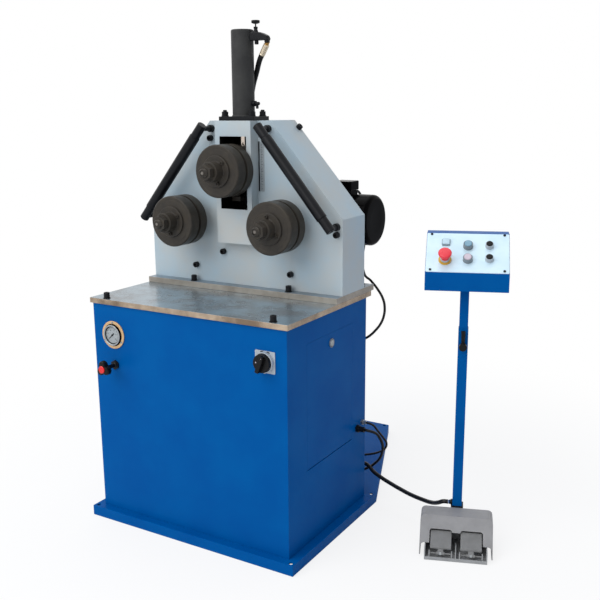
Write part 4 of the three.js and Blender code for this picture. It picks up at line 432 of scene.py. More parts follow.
# Two tones, patch, grain and relief in millimetres, roughness and its spread, and what is special
FINISHES = {
    # Stoved enamel on sheet steel: a deep even blue with a faint orange peel and a soft sheen
    "blue_enamel": (
        ("#00579c", "#005096"), 160, 2.6, 0.02, 0.33, 0.05, dict(IOR=1.5, Specular_IOR_Level=0.025),
    ),
    # Sprayed light grey enamel on the welded head: pale, cool in places and warmer in others, with
    # painted shade near black inside the guide box
    "grey_enamel": (
        ("#adc0ca", "#bcbdb9"), 260, 2.2, 0.02, 0.42, 0.05,
        dict(hollow=GUIDE_SHADE_BOXES, IOR=1.5, Specular_IOR_Level=0.25),
    ),
    # Glossy black lacquer on the motor: an even black with almost no highlight; it is also the painted
    # shade on the band round the gauge bezel
    "black_lacquer_and_shade": (
        ("#030304", "#020203"), 60, 1.8, 0.015, 0.2, 0.04, dict(IOR=1.5, Specular_IOR_Level=0.025),
    ),
    # Satin black lacquer on the cylinder: dark grey where it is lit, with a dull sheen
    "cylinder_lacquer": (
        ("#3d3d3c", "#353535"), 50, 1.4, 0.03, 0.5, 0.05, dict(IOR=1.5, Specular_IOR_Level=0.12),
    ),
    # Satin black lacquer on the guard bars and screws: it takes a bluish light on its upper side
    "bar_lacquer": (
        ("#16171a", "#101114"), 50, 1.4, 0.02, 0.34, 0.05, dict(IOR=1.5, Specular_IOR_Level=0.16),
    ),
    # Blackened turned steel: brownish black and oily, with the marks of the lathe
    "blackened_steel": (
        ("#3f3a33", "#35322e"), 26, 1.1, 0.02, 0.4, 0.06, dict(turning=0.02, Specular_IOR_Level=0.16),
    ),
    # Bare ground steel plate: grey with faint brown stains on top and a blue cast that is a painted
    # reflection, its sawn sides tan and rusty
    "ground_steel": (
        ("#96aab6", "#83888c"), 90, 0.9, 0.01, 0.26, 0.05,
        dict(edges=("#b9a58e", "#7b6957"), Metallic=0.75),
    ),
    # Turned raw steel of shafts and gears: brownish grey
    "raw_steel": (
        ("#7d7871", "#5f5953"), 40, 1.2, 0.02, 0.4, 0.08, dict(Metallic=0.5),
    ),
    # Hard chrome of the piston rod: a clear mirror with the faintest grinding, its warm cream tint a
    # painted reflection
    "hard_chrome": (
        ("#f2e3d4", "#ead9c8"), 60, 0.6, 0.002, 0.14, 0.03, dict(Metallic=1.0),
    ),
    # Bright zinc plating of screws and fittings: pale, slightly blue and milky
    "zinc_plating": (
        ("#a9adae", "#94989b"), 12, 0.5, 0.01, 0.34, 0.06, dict(Metallic=0.9),
    ),
    # Yellow chromate on the crimped ferrule of the hose: cream, with a soft shine
    "warm_plating": (
        ("#d8cab2", "#c4b69e"), 12, 0.5, 0.01, 0.34, 0.06, dict(Metallic=0.6),
    ),
    # Etched aluminium of the position scale: light grey and matt
    "scale_metal": (
        ("#a4abae", "#989fa3"), 12, 0.5, 0.004, 0.5, 0.05, dict(Metallic=0.3),
    ),
    # Grey paint over a sand casting: grainy and dull
    "painted_casting": (
        ("#4b4f53", "#43474a"), 70, 1.8, 0.12, 0.6, 0.06, {},
    ),
    # Pale lacquered brass flange of the gauge: beige and satin
    "cream_brass": (
        ("#dcb586", "#cda677"), 30, 0.6, 0.01, 0.4, 0.05, dict(Metallic=0.2),
    ),
    # Printed gauge dial under its glass: mid grey and flat
    "dial_card": (
        ("#9ca2a4", "#92989b"), 40, 0.8, 0.002, 0.4, 0.04, {},
    ),
    # Printing ink on the dial and the scale, matt black; it is also the painted shade ring at the edge
    # of the dial
    "ink_and_shade_black": (
        ("#14181b", "#0f1214"), 20, 0.6, 0.002, 0.6, 0.04, dict(Specular_IOR_Level=0.2),
    ),
    # Polished brass nipple at the end of the hose: golden
    "bright_ring": (
        ("#c89a55", "#b5884a"), 20, 0.6, 0.003, 0.25, 0.04, dict(Metallic=1.0),
    ),
    # Aluminium-coloured plastic of the switch plate and of bezels: light and matt
    "aluminium_plastic": (
        ("#b3bac0", "#a7afb5"), 40, 0.8, 0.01, 0.4, 0.05, dict(IOR=1.46),
    ),
    # Moulded black plastic of knobs and buttons: spark-eroded, with a soft sheen
    "moulded_plastic": (
        ("#101011", "#0c0c0d"), 20, 0.7, 0.03, 0.36, 0.06, dict(IOR=1.46, Specular_IOR_Level=0.2),
    ),
    # Grey plastic bezels of the lit buttons: mid grey and satin
    "grey_plastic": (
        ("#7d878d", "#727c82"), 20, 0.7, 0.01, 0.36, 0.05, dict(IOR=1.46),
    ),
    # Black rubber of hoses and cable sheaths: dull, with a faint dusty bloom
    "black_rubber": (
        ("#121213", "#0d0d0d"), 30, 0.8, 0.02, 0.45, 0.07, dict(IOR=1.52, Specular_IOR_Level=0.2),
    ),
    # Plastic sheath of the conduit: black and smooth, with a thin highlight
    "conduit_sheath": (
        ("#141517", "#0e0f11"), 30, 0.8, 0.01, 0.3, 0.05, dict(IOR=1.5, Specular_IOR_Level=0.3),
    ),
    # Grey powder coat of the foot switch: neutral, fine-grained and satin
    "foot_powder": (
        ("#989797", "#8f8e8e"), 50, 0.9, 0.04, 0.5, 0.05, dict(IOR=1.5, Specular_IOR_Level=0.3),
    ),
    # Grey powder coat of the pedals, a little darker than the cover
    "pedal_powder": (
        ("#80807f", "#757574"), 30, 0.9, 0.04, 0.5, 0.05, dict(IOR=1.5, Specular_IOR_Level=0.3),
    ),
    # Light grey coat of the foot tray: rough and dull
    "tray_coat": (
        ("#a3a4a4", "#929393"), 40, 1.0, 0.04, 0.5, 0.06, {},
    ),
    # Pale anodised aluminium of the control panel: almost white with a cold cast
    "pale_aluminium": (
        ("#cfe6f1", "#c6dfeb"), 60, 0.6, 0.004, 0.4, 0.05, dict(Metallic=0.1),
    ),
    # Glossy red plastic of the stop button, with a pinkish cast
    "stop_plastic": (
        ("#e93544", "#df2c3c"), 20, 0.8, 0.005, 0.28, 0.05, dict(IOR=1.49),
    ),
    # Glossy red cap of the relief valve: deep and saturated
    "valve_red": (
        ("#e3161a", "#d61418"), 20, 0.8, 0.005, 0.25, 0.05, dict(IOR=1.49),
    ),
    # Flame-cut steel plate under the head: dull bluish grey on top, beige grey sides
    "sawn_steel": (
        ("#8a99a6", "#7d8890"), 90, 0.9, 0.01, 0.36, 0.05,
        dict(edges=("#a39b90", "#7f776d"), Metallic=0.5),
    ),
    # Yellow plastic ring under the stop button: warm and matt
    "yellow_plastic": (
        ("#cfa43a", "#c39730"), 20, 0.8, 0.005, 0.4, 0.05, dict(IOR=1.49),
    ),
    # Unlit blue-grey lens cap: milky and glossy
    "blue_cap": (
        ("#7ba3b8", "#6f98ae"), 12, 0.8, 0.003, 0.22, 0.04, dict(IOR=1.49),
    ),
    # Unlit white lens cap: milky, faintly violet and glossy
    "white_cap": (
        ("#c9bcc8", "#bfb2be"), 12, 0.8, 0.003, 0.22, 0.04, dict(IOR=1.49),
    ),
    # Unlit clear lens of the lamp: as pale and cold as the panel round it
    "clear_lens": (
        ("#bcd6e2", "#b1ccd9"), 12, 0.8, 0.003, 0.18, 0.03, dict(IOR=1.49),
    ),
}


def finished(name):
    """The material of a finish, made when it is first asked for."""
    if name in bpy.data.materials:
        return bpy.data.materials[name]
    tones, patch, grain, relief, roughness, spread, special = FINISHES[name]
    return stuff(name, tones, patch, grain, relief, roughness, spread, **special)


# Camera, light and floor


class BuildStage(bpy.types.Operator):
    """Sets up the camera, the lamps, the sky and the pale floor"""

    bl_idname = "ring_roller.stage"
    bl_label = "Stage"

    def execute(self, context):
        view = context.scene.ring_roller_view
        yaw, pitch, roll = view.yaw, view.pitch, view.roll
        look = Vector((
            -math.sin(yaw) * math.cos(pitch), math.cos(yaw) * math.cos(pitch), -math.sin(pitch),
        ))
        level = look.cross(UP).normalized()
        over = level.cross(look)
        right = math.cos(roll) * level + math.sin(roll) * over
        top = -math.sin(roll) * level + math.cos(roll) * over
        camera = bpy.data.objects.new("view_camera", bpy.data.cameras.new("view_camera"))
        camera.data.lens = view.lens
        camera.data.sensor_width = 36
        turn = Matrix((right, top, -look)).transposed().to_4x4()
        camera.matrix_world = Matrix.Translation(view.place) @ turn
        context.collection.objects.link(camera)
        context.scene.camera = camera
        self.lamps(context, view)
        self.sky(context, view)
        self.floor(view)
        context.scene.view_settings.view_transform = "Standard"
        return {"FINISHED"}

    def lamps(self, context, view):
        """Two soft lamps that face the middle of the machine from the same distance."""
        target, distance = Vector((0.1, 0, 0.6)), 8.0
        for name, heading, power, size in (
            ("key_lamp", view.key_heading, view.key_power, 8.0),
            ("fill_lamp", view.fill_heading, view.fill_power, 6.0),
        ):
            lamp = bpy.data.objects.new(name, bpy.data.lights.new(name, "AREA"))
            lamp.data.energy = power
            lamp.data.size = size
            heading = Vector(heading).normalized()
            lamp.matrix_world = facing(heading, target + heading * distance)
            context.collection.objects.link(lamp)

    def sky(self, context, view):
        world = bpy.data.worlds.new("studio")
        world.use_nodes = True
        tree = world.node_tree
        tree.nodes.clear()
        rays = add(tree, "ShaderNodeLightPath")
        mirror = add(tree, "ShaderNodeMath", {
            0: rays.outputs["Is Glossy Ray"], 1: rays.outputs["Is Transmission Ray"],
        }, operation="MAXIMUM")
        shown = add(tree, "ShaderNodeMath", {
            0: rays.outputs["Is Camera Ray"], 1: mirror.outputs[0],
        }, operation="MAXIMUM")
        soft = add(tree, "ShaderNodeBackground", {
            "Color": linear("#eef4ff"), "Strength": view.ambient,
        })
        white = add(tree, "ShaderNodeBackground", {"Color": (1, 1, 1, 1), "Strength": 1.0})
        both = add(tree, "ShaderNodeMixShader", {
            0: shown.outputs[0], 1: soft.outputs[0], 2: white.outputs[0],
        })
        add(tree, "ShaderNodeOutputWorld", {0: both.outputs[0]})
        context.scene.world = world

    def floor(self, view):
        """A matt floor that goes over into pure white away from the machine."""
        under, centre, near, far = -0.0006, (0.2, 0.25, 0), 0.7, 1.9
        clear_selection()
        bpy.ops.mesh.primitive_plane_add(size=60, location=(0, 0, under))
        ground = bpy.context.object
        ground.name = "studio_floor"
        bpy.ops.object.transform_apply(location=True)
        material = bpy.data.materials.new("pale_floor")
        material.use_nodes = True
        tree = material.node_tree
        tree.nodes.clear()
        rays = add(tree, "ShaderNodeLightPath")
        matt = add(tree, "ShaderNodeBsdfDiffuse", {"Color": (0.93, 0.93, 0.93, 1)})
        glow = add(tree, "ShaderNodeEmission", {"Color": (1, 1, 1, 1), "Strength": 1.0})
        texture = add(tree, "ShaderNodeTexCoord")
        away = add(tree, "ShaderNodeVectorMath", {
            0: texture.outputs["Object"], 1: centre,
        }, operation="DISTANCE").outputs["Value"]
        lift = add(tree, "ShaderNodeMapRange", {
            "Value": away, "From Min": near, "From Max": far,
            "To Min": view.floor_lift, "To Max": 1.0,
        }, interpolation_type="SMOOTHSTEP").outputs[0]
        share = add(tree, "ShaderNodeMath", {
            0: rays.outputs["Is Camera Ray"], 1: lift,
        }, operation="MULTIPLY")
        both = add(tree, "ShaderNodeMixShader", {
            0: share.outputs[0], 1: matt.outputs[0], 2: glow.outputs[0],
        })
        add(tree, "ShaderNodeOutputMaterial", {0: both.outputs[0]})
        ground.data.materials.append(material)


# Cords


CORDS = {
    "pressure_hose": {
        "diameter": 0.016, "finish": "black_rubber", "stiffness": "stiff", "lay": "hanging",
        "route": [
            (0.0599, 0.10404, 1.42258), (0.0514, 0.10715, 1.412), (0.026, 0.126, 1.3756),
            (0.002, 0.141, 1.3356), (-0.014, 0.153, 1.295), (-0.018, 0.158, 1.266),
            (-0.018, 0.158, 1.25),
        ],
    },
    "motor_cable": {
        "diameter": 0.008, "finish": "black_rubber", "stiffness": "medium", "lay": "hanging",
        "route": [
            (0.255, 0.3396, 1.01), (0.255, 0.352, 1.0095), (0.258, 0.371, 0.988), (0.268, 0.385, 0.9),
            (0.2755, 0.362, 0.742), (0.308, 0.346, 0.724), (0.341, 0.331, 0.7), (0.3645, 0.318, 0.676),
            (0.375, 0.308, 0.656), (0.3786, 0.297, 0.629), (0.373, 0.285, 0.603), (0.359, 0.276, 0.581),
            (0.342, 0.272, 0.563), (0.328, 0.268, 0.553), (0.323, 0.26, 0.55), (0.323, 0.2513, 0.55),
        ],
    },
    "side_cable_thin": {
        "diameter": 0.007, "finish": "black_rubber", "stiffness": "medium", "lay": "hanging",
        "route": [
            (0.3633, 0.211, 0.294), (0.371, 0.211, 0.294), (0.38, 0.224, 0.285), (0.388, 0.245, 0.2595),
            (0.4, 0.262, 0.232), (0.405, 0.275, 0.211), (0.3935, 0.285, 0.1846), (0.373, 0.288, 0.169),
            (0.352, 0.287, 0.159), (0.33, 0.282, 0.153), (0.311, 0.273, 0.1505), (0.306, 0.261, 0.15),
            (0.306, 0.2513, 0.15),
        ],
    },
    "side_cable_thick": {
        "diameter": 0.009, "finish": "black_rubber", "stiffness": "medium", "lay": "hanging",
        "route": [
            (0.3733, 0.178, 0.283), (0.383, 0.178, 0.283), (0.394, 0.188, 0.278),
            (0.403, 0.203, 0.2675),
            (0.409, 0.216, 0.249), (0.411, 0.232, 0.221), (0.403, 0.248, 0.19), (0.386, 0.266, 0.158),
            (0.364, 0.28, 0.132), (0.341, 0.287, 0.111), (0.32, 0.284, 0.098), (0.308, 0.274, 0.093),
            (0.306, 0.262, 0.092), (0.306, 0.2513, 0.092),
        ],
    },
    "pedal_conduit": {
        "diameter": 0.013, "finish": "conduit_sheath", "stiffness": "stiff", "lay": "loose",
        "route": [
            (0.318, 0.2543, 0.125), (0.318, 0.268, 0.125), (0.328, 0.276, 0.1235),
            (0.345, 0.273, 0.118),
            (0.365, 0.264, 0.108), (0.392, 0.256, 0.0995), (0.432, 0.248, 0.089), (0.471, 0.24, 0.081),
            (0.51, 0.23, 0.076), (0.556, 0.216, 0.076), (0.598, 0.196, 0.084), (0.625, 0.18, 0.098),
            (0.642, 0.1752, 0.108), (0.65515, 0.17995, 0.108),
        ],
    },
}


class BuildCords(bpy.types.Operator):
    """Lays the hose, the three cables and the conduit along their routes"""

    bl_idname = "ring_roller.cords"
    bl_label = "Cords"

    def execute(self, context):
        for node, facts in CORDS.items():
            curve = bpy.data.curves.new(node + "_line", "CURVE")
            curve.dimensions = "3D"
            curve.bevel_depth = facts["diameter"] / 2
            curve.bevel_resolution = 5
            curve.resolution_u = 16
            curve.use_fill_caps = True
            spline = curve.splines.new("BEZIER")
            spline.bezier_points.add(len(facts["route"]) - 1)
            for knot, place in zip(spline.bezier_points, facts["route"]):
                knot.co = place
                knot.handle_left_type = knot.handle_right_type = "AUTO"
            piece = bpy.data.objects.new(node + "_line", curve)
            context.collection.objects.link(piece)
            context.view_layer.update()
            settle(piece, node, facts["finish"])
            self.length(spline)
        return {"FINISHED"}

    def length(self, spline):
        """The length along the centre line."""
        total = 0.0
        for start, end in zip(spline.bezier_points, spline.bezier_points[1:]):
            line = geometry.interpolate_bezier(
                start.co, start.handle_right, end.handle_left, end.co, 24,
            )
            total += sum((b - a).length for a, b in zip(line, line[1:]))
        return round(total, 4)


# Cabinet, table and tray


class BuildCabinet(bpy.types.Operator):
    """Dresses the tray, the cabinet, its door and lock, the table and the head plate"""

    bl_idname = "ring_roller.cabinet"
    bl_label = "Cabinet"

    def execute(self, context):
        sizes = context.scene.ring_roller_sizes
        clad("base_frame", "blue_enamel", sizes.sheet_edge, name="tray_skin")
        clad("cabinet_shell", "blue_enamel", sizes.sheet_edge, name="cabinet_skin")
        clad("side_door", "blue_enamel", sizes.sheet_edge / 2, name="door_skin")
        table_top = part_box("head_base_plate")[0].z
        plate_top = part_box("head_casing")[0].z
        hair = 0.0001
        for node, name, top, finish in (
            ("table_plate", "table_skin", table_top, "ground_steel"),
            ("head_base_plate", "head_plate_skin", plate_top, "sawn_steel"),
        ):
            clad(node, finish, sizes.plate_edge, name=name, drop=lambda corner: corner.z > top + hair)
        clad("power_pack", "painted_casting", 0.002)
        self.lock()
        self.bolts(table_top, plate_top)
        clad("side_gland", "moulded_plastic", 0.0006)
        clad("side_fitting", "zinc_plating", 0.0006)
        return {"FINISHED"}

    def lock(self):
        """The round head of the quarter-turn lock and the insert with the slot for its key."""
        radius = half("door_lock").z
        # The lock sits a little behind the middle of the door
        behind, slot_width = 0.0025, 0.0028
        seat = facing(RIGHT, (
            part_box("door_lock")[1].x, middle("side_door").y + behind, middle("door_lock").z,
        ))
        head = lathed("lock_head", [
            (radius * 0.7, -0.006), (radius, -0.004), (radius, -0.0012), (radius * 0.9, 0),
            (radius * 0.72, 0), (radius * 0.66, -0.001),
        ], seat=seat)
        settle(head, "door_lock", "zinc_plating", "zinc")
        insert = turned("lock_insert", [
            (radius * 0.64, -0.003), (radius * 0.64, -0.0008), (radius * 0.58, -0.0004),
        ])
        carved(insert, block("key_tool", (-slot_width / 2, -radius * 0.4, -0.003),
                             (slot_width / 2, radius * 0.4, 0.001)))
        settle(put(softened(insert, 0.0002), seat), "door_lock", "moulded_plastic", "zinc")
        clad("door_lock", "zinc_plating", 0.0004, name="lock_body")

    def bolts(self, table_top, plate_top):
        """Tall round cap screws, each on its washer."""
        washer_top = 0.0015
        washer = lathed("bolt_washer", [
            (0.0112, 0), (0.0112, 0.0012), (0.0108, washer_top),
        ], 40, 0)
        bolt = gathered("bolt", [cap_screw("bolt_head", 0.018, 0.0165, washer_top), washer])
        for name, node, base, places in (
            ("table_bolts", "table_plate", table_top, [(0.298, -0.225)]),
            ("plate_bolts", "head_base_plate", plate_top, [(0.178, 0.049), (0.318, 0.256)]),
        ):
            # Each socket stands at another angle, as hand-tightened screws do
            piece = patterned(name, twin(bolt, name, Matrix.Identity(4)), [
                shift(side * x, y, base) @ spun(0.3 * x + side) for x, y in places for side in (-1, 1)
            ])
            settle(piece, node, "bar_lacquer", "black_oxide")
        bpy.data.objects.remove(bolt)


# Head


class BuildHead(bpy.types.Operator):
    """Dresses the welded head, its screws, scale and guard bars, and what shows in its window"""

    bl_idname = "ring_roller.head"
    bl_label = "Head"

    def execute(self, context):
        edge = context.scene.ring_roller_sizes.head_edge
        # The face of the head lies this far behind the front of its guide box
        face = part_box("head_casing")[0].y + 0.0377
        # The source carries one pair of screws that the photo hides
        unseen = (0.069, 0.832)
        screws = [
            (side * x, z) for x, z in ((0.107, 1.181), (0.334, 0.911), unseen, (0.177, 0.781))
            for side in (-1, 1)
        ]
        clad("head_casing", "grey_enamel", edge, 3, "head_skin", lambda corner: (
            face - 0.0135 < corner.y < face - 0.001
            and any(math.hypot(corner.x - x, corner.z - z) < 0.0098 for x, z in screws)
        ))
        clad("head_back_plate", "grey_enamel", edge, name="head_back_skin")
        clad("ram_block", "blackened_steel", 0.001, name="ram_skin")
        self.screws(face, [place for place in screws if place != unseen])
        self.hose_gland()
        self.scale()
        self.rod()
        self.guard_bar(-1, "guard_bar_left")
        self.guard_bar(1, "guard_bar_right")
        return {"FINISHED"}

    def screws(self, face, places):
        # The right slope on top of the head: where it starts and which way it runs down
        start, run = Vector((0.1095, 0, 1.2337)), Vector((0.657, 0, -0.754))
        # How far down the slope and how far back its screw sits
        station, rear = 0.032, 0.192
        for name, seats in (
            ("face_screws", [facing(FORWARD, (x, face, z), x) for x, z in places]),
            ("slope_screws", [facing((-side * run.z, 0, run.x), (
                side * (start.x + run.x * station), rear, start.z + run.z * station,
            )) for side in (-1, 1)]),
        ):
            piece = patterned(name, cap_screw(name, 0.0184, 0.0122), seats)
            settle(piece, "head_casing", "bar_lacquer", "black_paint")

    def hose_gland(self):
        hexagon = hex_piece("gland_hex", 0.0242, 0, 0.0091)
        neck = lathed("gland_neck", [
            (0.0101, 0.008), (0.0101, 0.0135), (0.0096, 0.0145), (0.0101, 0.0152), (0.0099, 0.0161),
            (0.0084, 0.0161),
        ], 40)
        x, y = CORDS["pressure_hose"]["route"][-1][:2]
        head_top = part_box("cylinder_flange")[0].z
        gland = put(gathered("hose_gland", [hexagon, neck]), shift(x, y, head_top))
        settle(gland, "head_casing", "zinc_plating", "zinc")

    def scale(self):
        """The strip with a short and a long mark in turn, every five millimetres."""
        low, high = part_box("scale_strip")
        settle(block("scale_plate", low, high, 0.0002), "scale_strip", "scale_metal")
        step, left, short, tall, thick = 0.005, low.x + 0.004, 0.0038, 0.0062, 0.0012
        marks = []
        for i in range(1, int((high.z - low.z) / step)):
            z = low.z + i * step
            marks.append(block("mark", (left, low.y - 0.0001, z - thick / 2), (
                left + (short if i % 2 else tall), low.y + 0.0004, z + thick / 2,
            )))
        settle(gathered("scale_marks", marks), "scale_strip", "ink_and_shade_black", "black_plastic")

    def rod(self):
        """The chromed rod with its wider head."""
        low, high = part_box("piston_rod")
        radius, shoulder, head = 0.015, high.z - 0.03, half("piston_rod").x
        rod = lathed("piston_rod_skin", [
            (radius, low.z), (radius, shoulder), (head, shoulder), (head, high.z),
        ], 64, 0.0006, shift(0, middle("piston_rod").y))
        settle(rod, "piston_rod", "hard_chrome")

    def guard_bar(self, hand, node):
        """A bar with a sleeve on it, held by a post at each end."""
        face = 0.0667
        top = Vector((hand * 0.0981, 0.0125, 1.2216))
        foot = Vector((hand * 0.3437, 0.0125, 0.9266))
        length = (foot - top).length
        plug, sleeve, seam, reach, lip, bevel = 0.0141, 0.0161, 0.0007, 0.046, 0.0006, 0.0012
        rims = [(plug - 0.0015, 0), (plug, 0.0015), (plug, reach - 2 * lip), (plug - seam, reach - lip)]
        bar = lathed(node + "_skin", [
            *rims, (plug - seam, reach), (sleeve - bevel, reach), (sleeve, reach + bevel),
            (sleeve, length - reach - bevel), (sleeve - bevel, length - reach),
            *[(radius, length - station) for radius, station in [(plug - seam, reach)] + rims[::-1]],
        ], seat=facing(foot - top, top))
        run = (foot - top).normalized()
        inward = Vector((hand * run.z, 0, -hand * run.x))
        parts = [bar]
        for station in (0.012, length - 0.012):
            place = top + run * station + inward * 0.003
            parts.append(lathed("post", [
                (0.011, 0), (0.011, 0.0125), (0.0098, 0.014), (0.0075, 0.014), (0.0075, 0.0542),
            ], 40, 0.0004, facing(FORWARD, (place.x, face, place.z))))
        settle(gathered(node + "_skin", parts), node, "bar_lacquer")


# Rolls


class BuildRolls(bpy.types.Operator):
    """Turns the three rolls with their shafts, clamp flanges and lock nuts"""

    bl_idname = "ring_roller.rolls"
    bl_label = "Rolls"

    def execute(self, context):
        models = (
            (self.roll(), "_roll_skin", "_roll", None),
            (self.clamp_flange(), "_clamp_skin", "_clamp_flange", None),
            (hex_piece("lock_nut", 0.042, 0.0966, 0.1166, 0.0006), "_nut_skin", "_lock_nut", None),
            (self.nose(), "_nose", "_shaft", "black_oxide"),
        )
        screw = cap_screw("clamp_screw", 0.0102, 0.006, 0.0623, 0.55)
        screw_circle = 0.036
        for hand, screw_turn in (("upper", 45), ("right", 90), ("left", 32)):
            centre = middle(hand + "_roll")
            seat = facing(FORWARD, (centre.x, 0, centre.z))
            for model, ending, node, slot in models:
                settle(twin(model, hand + ending, seat), hand + node, "blackened_steel", slot)
            clad(hand + "_shaft", "raw_steel", 0.0006)
            screws = gathered(hand + "_clamp_screws", [
                twin(screw, "screw", seat @ spun(math.radians(turn)) @ shift(screw_circle))
                for turn in range(screw_turn, screw_turn + 360, 120)
            ])
            settle(screws, hand + "_clamp_flange", "blackened_steel", "black_oxide")
        for model in [row[0] for row in models] + [screw]:
            bpy.data.objects.remove(model)
        return {"FINISHED"}

    def roll(self):
        """A roll with the wide groove round it and a fine ring turned into its front."""
        low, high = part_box("upper_roll")
        radius, chamfer, bore = half("upper_roll").x, 0.003, 0.03
        groove, groove_back, groove_front = 0.055, 0.008, 0.018
        return lathed("roll", [
            (bore, -high.y), (radius - chamfer, -high.y), (radius, chamfer - high.y),
            (radius, groove_back), (groove, groove_back), (groove, groove_front),
            (radius, groove_front), (radius, -low.y - chamfer), (radius - chamfer, -low.y),
            (0.066, -low.y), (0.065, -low.y - 0.0006), (0.0645, -low.y), (bore, -low.y),
        ], 128, 0.0005)

    def clamp_flange(self):
        rim, collar, back, face, front = 0.047, 0.0295, 0.0563, 0.0623, 0.0963
        return lathed("clamp_flange", [
            (0.022, back), (rim - 0.0008, back), (rim, back + 0.0008), (rim, face - 0.0015),
            (rim - 0.0015, face), (collar + 0.002, face), (collar, face + 0.002),
            (collar, front - 0.0015), (collar - 0.0015, front), (0.0135, front),
        ], 96)

    def nose(self):
        """The threaded end of the shaft with its centre hole."""
        radius, start, end, pitch, depth, run_out = 0.013, 0.1146, 0.1253, 0.002, 0.0008, 0.003
        rims = [(radius - depth, start)]
        for i in range(int((end - start - run_out) / pitch)):
            rims += [(radius, start + pitch * (i + 0.5)), (radius - depth, start + pitch * (i + 1))]
        rims += [(radius, end - run_out), (radius - 0.003, end), (0.0046, end), (0.0022, end - 0.004)]
        return lathed("nose", rims, 48, 0)


# Cylinder


class BuildCylinder(bpy.types.Operator):
    """Turns the hydraulic cylinder with its flange bolts, ports, hose ferrule and bleed valve"""

    bl_idname = "ring_roller.cylinder"
    bl_label = "Cylinder"

    def execute(self, context):
        self.axis_y = middle("cylinder_flange").y
        # The top of the flange plate, where the barrel and the flange bolts start
        self.foot = 1.246
        foot, top, radius, inlay = self.foot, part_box("cylinder_barrel")[1].z, 0.0336, 0.0009
        barrel = lathed("barrel_skin", [
            (0.026, foot), (radius + 0.0022, foot), (radius + 0.0022, foot + 0.0015),
            (radius, foot + 0.0042), (radius, top - 0.003), (radius - 0.0008, top - 0.002),
            (radius - 0.0022, top), (radius - 0.006, top), (radius - 0.0068, top - inlay),
            (0.004, top - inlay), (0.003, top - 0.003),
        ], 96, 0.0004, shift(0, self.axis_y))
        settle(barrel, "cylinder_barrel", "cylinder_lacquer")
        self.lower_port()
        self.flange()
        self.port()
        self.bleed()
        return {"FINISHED"}

    def lower_port(self):
        """The plugged port on the right of the barrel, with the stub of a pipe under it."""
        height, stub_x = 1.283, 0.0491
        seat = facing(RIGHT, (0, self.axis_y, height))
        hexagon = put(hex_piece("port_hex", 0.0162, 0.028, 0.0441), seat)
        nose = lathed("port_nose", [(0.005, 0.042), (0.005, 0.0555), (0.0036, 0.0571)], 32, seat=seat)
        stub = lathed("port_stub", [
            (0.004, 0), (0.004, 0.0138), (0.003, 0.015),
        ], 32, seat=facing(-UP, (stub_x, self.axis_y, height)))
        port = gathered("lower_port", [hexagon, nose, stub])
        settle(port, "cylinder_barrel", "bar_lacquer", "black_oxide")

    def flange(self):
        """The square flange with a stud, a washer and a nut at each corner."""
        low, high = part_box("cylinder_flange")
        plate = block("flange_plate", low, (high.x, high.y, self.foot), 0.0012, 3)
        settle(plate, "cylinder_flange", "bar_lacquer")
        washer_top = 0.003
        washer = lathed("washer", [(0.0111, 0), (0.0111, 0.0026), (0.0105, washer_top)], 48, 0)
        nut = hex_piece("nut", 0.0182, washer_top, 0.0141)
        stud = lathed("stud", [
            (0.006, 0.012), (0.006, 0.0178), (0.0048, 0.0191), (0.0012, 0.0191),
        ], 40, 0.0002)
        bolts = patterned("flange_bolts", gathered("flange_bolts", [washer, nut, stud]), [
            shift(x, self.axis_y + y, self.foot) @ spun(x * 9 + y * 5)
            for x in (-0.049, 0.049) for y in (-0.0285, 0.0285)
        ])
        settle(bolts, "cylinder_flange", "bar_lacquer", "black_oxide")

    def port(self):
        """The port block on top with its elbow, the nipple and the crimped ferrule of the hose."""
        body = slab("port_body", [
            (0.031, 1.463), (0.078, 1.463), (0.0905, 1.4605), (0.0938, 1.466), (0.0895, 1.4755),
            (0.0745, 1.4825), (0.0586, 1.487), (0.031, 1.487),
        ], -0.011, 0.011)
        put(softened(body, 0.0022, 3), facing(FORWARD, (0, self.axis_y, 0)))
        boss = lathed("port_boss", [
            (0.0048, 1.452), (0.006, 1.4532), (0.006, 1.4655),
        ], 40, seat=shift(0.0506, self.axis_y))
        elbow = block("port_elbow", (0.0806, 0.084, 1.4545), (0.0936, 0.0985, 1.475), 0.0035, 4)
        settle(gathered("port_skin", [body, boss, elbow]), "port_block", "bar_lacquer")
        top, foot = Vector((0.09, 0.093, 1.46)), Vector((0.06019, 0.10393, 1.42294))
        length = (foot - top).length
        seat = facing(foot - top, top)
        nipple = put(hex_piece("hose_nipple", 0.011, 0.002, 0.0125), seat)
        settle(nipple, "port_block", "bright_ring", "gauge_brass")
        wide, neck = 0.0088, 0.0079
        rims = [(0.0066, 0.0115), (0.0086, 0.013)]
        for i in range(6):
            start = 0.0155 + i * 0.005
            rims += [
                (wide, start), (wide, start + 0.003), (neck, start + 0.0035), (neck, start + 0.0045),
            ]
        rims += [(wide, length - 0.0025), (wide, length - 0.001), (0.0081, length)]
        settle(lathed("hose_ferrule", rims, 48, 0.0002, seat), "port_block", "warm_plating", "zinc")

    def bleed(self):
        seat = shift(0.0481, self.axis_y)
        plug = lathed("bleed_seat", [
            (0.008, 1.4865), (0.005, 1.496), (0.0046, 1.4962), (0.0062, 1.4965), (0.0062, 1.5015),
            (0.005, 1.502),
        ], 40, 0.0002, seat)
        settle(plug, "port_block", "bar_lacquer", "black_oxide")
        knob = lathed("bleed_knob_skin", [
            (0.002, 1.488), (0.002, 1.5095), (0.006, 1.51), (0.0118, 1.5122), (0.0125, 1.514),
            (0.0125, 1.5188), (0.0115, 1.52), (0.006, 1.52), (0.005, 1.5195),
        ], 48, seat=seat)
        settle(knob, "bleed_knob", "moulded_plastic")


# Drive


